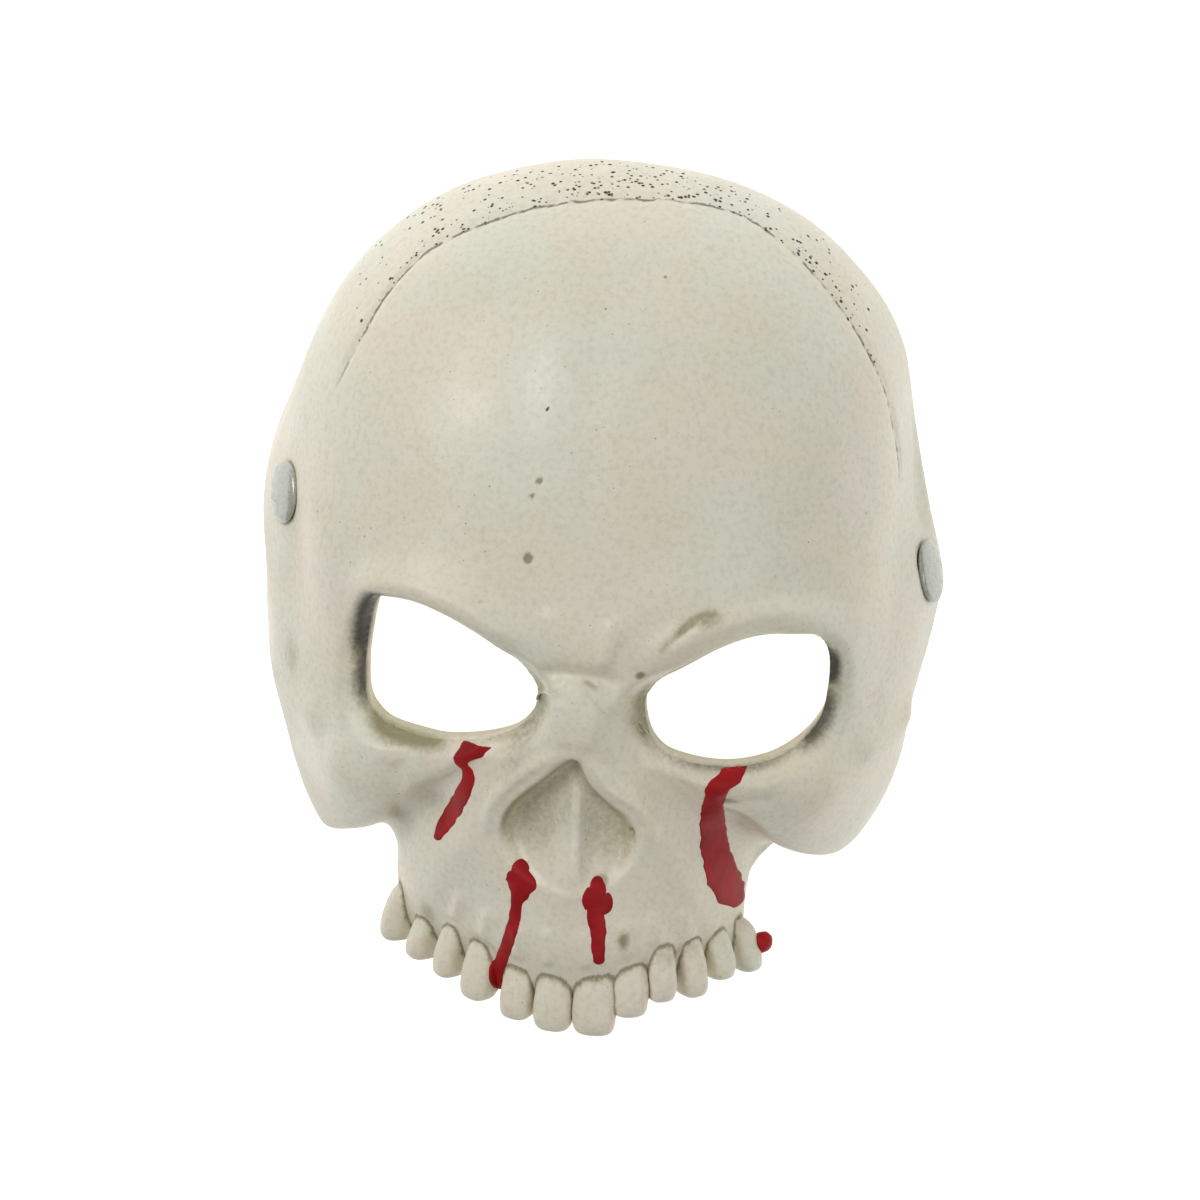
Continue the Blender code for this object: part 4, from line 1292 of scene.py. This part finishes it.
@dataclass
class BloodRun:
    """One run of blood paint that lies on the skin.

    A blunt run starts with a straight edge, where it comes over the edge of an eye.
    """

    name: str
    path: tuple[RunPoint, ...]
    steps: int = 8
    blunt: bool = False
    sides: int = 14
    thickness: float = 0.5
    ragged: float = 0.35
    cap_rows: int = 5
    edge_sunk: float = 0.12
    back_sunk: float = 0.35
    start_height: float = 130.0
    eye_edge_height: float = 66.0
    lowest_skin: float = 0.035

    def build(self, skin: BVHTree) -> bpy.types.Object:
        """Lays the run over the skin.

        Args:
            skin: The shell's faces, in the part's frame.

        Returns:
            The run's closed mesh.
        """
        rows = curve_through(self.path, self.steps, closed=False)
        centre, half = rows[:, :2], np.maximum(rows[:, 2], 0.3)
        way = np.gradient(centre, axis=0)
        way /= np.linalg.norm(way, axis=1, keepdims=True)
        across = np.stack([-way[:, 1], way[:, 0]], axis=1)
        if self.blunt:
            across[:] = (1.0, 0.0)
        caps = []
        for end, sign in ((0, -1.0), (-1, 1.0)):
            angles = np.linspace(0.0, np.pi / 2, self.cap_rows + 1)[1:]
            if end == 0 and self.blunt:
                caps.append([])
                continue
            caps.append([(centre[end] + sign * way[end] * half[end] * np.sin(a),
                          max(half[end] * np.cos(a), 0.02), across[end]) for a in angles])
        body = list(zip(centre, half, across))
        body = caps[0][::-1] + body + caps[1]
        while self.blunt and not self.lies_on(skin, *body[0]):
            body.pop(0)
        top, under = [], []
        for middle, width, side in body:
            for j in range(self.sides + 1):
                t = 2.0 * j / self.sides - 1.0
                edge = Vector((*(middle / 2.2), 3.0 * np.sign(t)))
                wide = width * (1.0 + self.ragged * 0.5 * noise.noise(edge) * abs(t))
                x, y = middle + side * t * wide
                hit = self.on_skin(skin, x, y)
                full = (1.0 - t * t) ** 0.5 if abs(t) < 1.0 else 0.0
                ends = min(1.0, width / 0.8)
                lift = self.thickness * full * ends - self.edge_sunk
                top.append(hit[0] + hit[1] * lift * MM)
                under.append(hit[0] - hit[1] * self.back_sunk * MM)
        n, count = self.sides + 1, len(body)
        points = np.array([tuple(p) for p in top + under])
        faces = []
        for r in range(count - 1):
            for c in range(self.sides):
                a = r * n + c
                faces.append((a, a + 1, a + n + 1, a + n))
                faces.append(tuple(i + n * count for i in (a, a + n, a + n + 1, a + 1)))
        ring = list(range(n)) + [r * n + n - 1 for r in range(1, count)]
        ring += [(count - 1) * n + c for c in range(n - 2, -1, -1)]
        ring += [r * n for r in range(count - 2, 0, -1)]
        low = n * count
        for a, b in zip(ring, ring[1:] + ring[:1]):
            faces.append((a, b, b + low, a + low))
        return new_object(self.name, points, faces)

    def lies_on(self, skin: BVHTree, middle: Array, width: float, side: Array) -> bool:
        """Whether a row of the run lies on the outer skin for its whole width."""
        places = [middle + side * t * width for t in np.linspace(-1.0, 1.0, 7)]
        return all(self.on_skin(skin, x, y)[1].z < 1.0 for x, y in places)

    def on_skin(self, skin: BVHTree, x: float, y: float) -> tuple[Vector, Vector]:
        """The outer skin under a place, and the way out of it; beyond it, the eye's edge and +Z."""
        start = Vector(to_part((x, y, self.start_height)))
        place, out, _, _ = skin.ray_cast(start, Vector((0.0, 0.0, -1.0)))
        if place is None or place.z < self.lowest_skin:
            place = skin.find_nearest(Vector(to_part((x, y, self.eye_edge_height))))[0]
            out = Vector((0.0, 0.0, 1.0))
        return place, out


@dataclass
class TempleRivet:
    """The rivet that holds the strap at one temple."""

    side: str
    radius: float = 8.6
    dome: float = 1.8
    gap: float = 0.3
    edge: float = 0.8
    steps: int = 8

    def build(self, form: SkullForm, metal: bpy.types.Material) -> bpy.types.Object:
        """Turns the domed cap and paints both pieces.

        Args:
            form: The form that the rivet is seated on.
            metal: The rivet's paint.

        Returns:
            The cap.
        """
        seat, out = form.rivet_seat(self.side)
        low = self.gap + self.edge
        profile = [(0.0, self.gap), (self.radius - 0.3, self.gap), (self.radius, self.gap + 0.3)]
        for i in range(self.steps):
            a = i * math.pi / 2 / self.steps
            profile.append((self.radius * math.cos(a), low + self.dome * math.sin(a)))
        profile.append((0.0, low + self.dome))
        cap = lathe(f"cap_{self.side}", profile, seat, out, 72)
        cap.data.materials.append(metal)
        cap.data.shade_smooth()
        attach(cap, BODY)
        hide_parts(f"rivet_cap_{self.side}")
        post = bpy.data.objects[f"rivet_post_{self.side}"]
        post.data.materials.clear()
        post.data.materials.append(metal)
        return cap


@dataclass
class CrownPinholes:
    """The pinholes that burst bubbles left over the crown, most of them along the seam."""

    per_area: float = 300000.0
    radius: float = 0.36
    seed: int = 7

    def band(self, shell: bpy.types.Object) -> bpy.types.Object:
        """The part of the skin that holds pinholes, with their density as "holes"."""
        mesh = shell.data
        points = to_sculpt(points_of(mesh))
        across = np.empty(len(points))
        mesh.attributes["seam"].data.foreach_get("value", across)
        x, y, z = points.T
        crown = smooth((y - 60.0) / 25.0) * smooth((z - 6.0) / 4.0)
        beyond = np.where((across > -0.5) & (across < 6.0), np.exp(-np.abs(across) / 2.0), 0.0)
        strewn = np.exp(-(((x + 4.0) / 50.0) ** 2)) * ((across > 0.0) | (z < 26.0))
        density = crown * (beyond + 0.45 * strewn)
        density = np.where(density > 0.04, density, 0.0)
        faces = []
        for face in mesh.polygons:
            if all(density[i] > 0.0 for i in face.vertices):
                faces.append(tuple(face.vertices))
        used = sorted({i for face in faces for i in face})
        new = {old: i for i, old in enumerate(used)}
        made = new_object(
            "crown_pinholes", to_part(points[used]), [tuple(new[i] for i in f) for f in faces]
        )
        store(made.data, "holes", density[used])
        return made

    def tree(self, look: bpy.types.Material) -> tuple[bpy.types.NodeTree, dict]:
        """The nodes that strew the pinholes.

        Args:
            look: The grime in a pinhole.

        Returns:
            The node tree, and its inputs by name.
        """
        tree = bpy.data.node_groups.new("pinholes", "GeometryNodeTree")
        face, add = tree.interface, tree.nodes.new
        face.new_socket("Geometry", in_out="INPUT", socket_type="NodeSocketGeometry")
        sockets = {}
        for name, kind in (("Per area", "Float"), ("Radius", "Float"), ("Seed", "Int")):
            sockets[name] = face.new_socket(
                name, in_out="INPUT", socket_type=f"NodeSocket{kind}"
            ).identifier
        face.new_socket("Geometry", in_out="OUTPUT", socket_type="NodeSocketGeometry")
        start, end = add("NodeGroupInput"), add("NodeGroupOutput")
        held = add("GeometryNodeInputNamedAttribute")
        held.data_type = "FLOAT"
        held.inputs["Name"].default_value = "holes"
        density = add("ShaderNodeMath")
        density.operation = "MULTIPLY"
        strewn = add("GeometryNodeDistributePointsOnFaces")
        ball = add("GeometryNodeMeshIcoSphere")
        ball.inputs["Subdivisions"].default_value = 2
        size = add("FunctionNodeRandomValue")
        size.data_type = "FLOAT"
        size.inputs[2].default_value = 0.35
        size.inputs[3].default_value = 1.5
        shape = add("ShaderNodeCombineXYZ")
        flat = add("ShaderNodeMath")
        flat.operation = "MULTIPLY"
        flat.inputs[1].default_value = 0.3
        copies = add("GeometryNodeInstanceOnPoints")
        real = add("GeometryNodeRealizeInstances")
        paint = add("GeometryNodeSetMaterial")
        paint.inputs["Material"].default_value = look
        for out, into in (
            (start.outputs["Geometry"], strewn.inputs["Mesh"]),
            (start.outputs["Per area"], density.inputs[0]),
            (held.outputs["Attribute"], density.inputs[1]),
            (density.outputs[0], strewn.inputs["Density"]),
            (start.outputs["Seed"], strewn.inputs["Seed"]),
            (start.outputs["Seed"], size.inputs["Seed"]),
            (start.outputs["Radius"], ball.inputs["Radius"]),
            (strewn.outputs["Points"], copies.inputs["Points"]),
            (strewn.outputs["Rotation"], copies.inputs["Rotation"]),
            (ball.outputs["Mesh"], copies.inputs["Instance"]),
            (size.outputs[1], shape.inputs[0]),
            (size.outputs[1], shape.inputs[1]),
            (size.outputs[1], flat.inputs[0]),
            (flat.outputs[0], shape.inputs[2]),
            (shape.outputs[0], copies.inputs["Scale"]),
            (copies.outputs["Instances"], real.inputs["Geometry"]),
            (real.outputs["Geometry"], paint.inputs["Geometry"]),
            (paint.outputs["Geometry"], end.inputs["Geometry"]),
        ):
            tree.links.new(out, into)
        return tree, sockets

    def build(self, shell: bpy.types.Object) -> bpy.types.Object:
        """Strews the pinholes over the shell's crown.

        Args:
            shell: The painted shell.

        Returns:
            All the pinholes, as one plain mesh.
        """
        holes = self.band(shell)
        # Each pinhole is a small flat dark dome: painted shade standing for the hole.
        tree, sockets = self.tree(DarkPaint().material())
        strew = holes.modifiers.new("strew", "NODES")
        strew.node_group = tree
        strew[sockets["Per area"]] = self.per_area
        strew[sockets["Radius"]] = self.radius * MM
        strew[sockets["Seed"]] = self.seed
        made_plain(holes)
        holes.data.shade_smooth()
        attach(holes, BODY)
        return holes


@dataclass
class Studio:
    """The pale floor, the soft lights and the camera."""

    target: tuple[float, float, float] = (0.00635, 0.00048, 0.045)
    distance: float = 1.0
    azimuth: float = 7.5
    tilt: float = 17.0
    roll: float = 2.2
    lens: float = 112.5
    floor_reach: float = 3.0
    floor_drop: float = 0.0004

    def camera(self) -> bpy.types.Object:
        """Looks down on the mask, which lies face up, from the picture's side of it."""
        p, t, r = (math.radians(a) for a in (self.azimuth, self.tilt, self.roll))
        back = Vector((math.sin(p) * math.cos(t), math.sin(t), math.cos(p) * math.cos(t)))
        level = Vector((math.cos(p), 0.0, -math.sin(p)))
        upright = back.cross(level)
        right = math.cos(r) * level + math.sin(r) * upright
        up = -math.sin(r) * level + math.cos(r) * upright
        data = bpy.data.cameras.new("camera")
        data.sensor_width = 36.0
        data.lens = self.lens
        obj = bpy.data.objects.new("camera", data)
        turn = Matrix((right, up, back)).transposed()
        place = Vector(self.target) + back * self.distance
        obj.matrix_world = Matrix.Translation(place) @ turn.to_4x4()
        bpy.context.scene.collection.objects.link(obj)
        bpy.context.scene.camera = obj
        return obj

    def light(self, name: str, place: tuple, size: float, power: float) -> None:
        """A square soft box that faces the mask."""
        data = bpy.data.lights.new(name, "AREA")
        data.shape = "SQUARE"
        data.size = size
        data.energy = power
        obj = bpy.data.objects.new(name, data)
        way = Vector(place) - Vector(self.target)
        turn = way.to_track_quat("Z", "Y").to_matrix().to_4x4()
        obj.matrix_world = Matrix.Translation(Vector(place)) @ turn
        bpy.context.scene.collection.objects.link(obj)

    def build(self) -> None:
        """Sets the floor, the lights, the camera and the colour handling."""
        corners = np.array([(-1.0, -1.0, 0.0), (1.0, -1.0, 0.0), (1.0, 1.0, 0.0), (-1.0, 1.0, 0.0)])
        corners = self.floor_reach * corners - (0.0, 0.0, self.floor_drop)
        floor = new_object("floor", corners, [(0, 1, 2, 3)])
        pale = bpy.data.materials.new("pale_floor")
        pale.use_nodes = True
        shader = pale.node_tree.nodes["Principled BSDF"]
        shader.inputs["Base Color"].default_value = (0.8, 0.8, 0.8, 1.0)
        shader.inputs["Roughness"].default_value = 0.9
        shader.inputs["Emission Color"].default_value = (1.0, 1.0, 1.0, 1.0)
        shader.inputs["Emission Strength"].default_value = 0.75
        floor.data.materials.append(pale)
        self.light("key", (-0.75, 0.75, 1.05), 0.8, 9.5)
        self.light("fill", (0.9, -0.1, 1.1), 0.9, 4.5)
        world = bpy.data.worlds.new("studio")
        world.use_nodes = True
        world.node_tree.nodes["Background"].inputs["Color"].default_value = (1, 1, 1, 1)
        world.node_tree.nodes["Background"].inputs["Strength"].default_value = 0.25
        scene = bpy.context.scene
        scene.world = world
        scene.view_settings.view_transform = "Standard"
        self.camera()


def main() -> None:
    """Builds each piece in order."""
    logging.basicConfig(level=logging.INFO, format="%(message)s")
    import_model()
    Studio().build()
    log.info("studio set")
    mask = MaskShell()
    shell = mask.build()
    softened(shell, 32.0, 2, 6)
    SkinWearAndShade().grimed_and_shaded(shell, mask.form)
    shell.data.materials.clear()
    shell.data.materials.append(PaintedFoam().material())
    shell.data.shade_smooth()
    shell.data.set_sharp_from_angle(angle=math.radians(44.0))
    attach(shell, BODY)
    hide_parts("skull_shell")
    log.info("shell built with %d faces", len(shell.data.polygons))
    skin = BVHTree.FromObject(shell, bpy.context.evaluated_depsgraph_get())
    blood = BloodPaint().material()
    for name, path in RUNS.items():
        run = BloodRun(name, path, blunt=name.startswith("blood_under")).build(skin)
        run.data.materials.append(blood)
        run.data.shade_smooth()
        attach(run, BODY)
        log.info("%s laid", name)
    drop = lathe("blood_drop", list(DROP_PROFILE), np.array(DROP_PLACE), DROP_FACING, 24)
    drop.data.materials.append(blood)
    drop.data.shade_smooth()
    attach(drop, BODY)
    metal = RivetMetal().material()
    for side in RIVETS:
        TempleRivet(side).build(mask.form, metal)
    holes = CrownPinholes().build(shell)
    log.info("rivets and %d faces of pinholes set", len(holes.data.polygons))


if __name__ == "__main__":
    main()
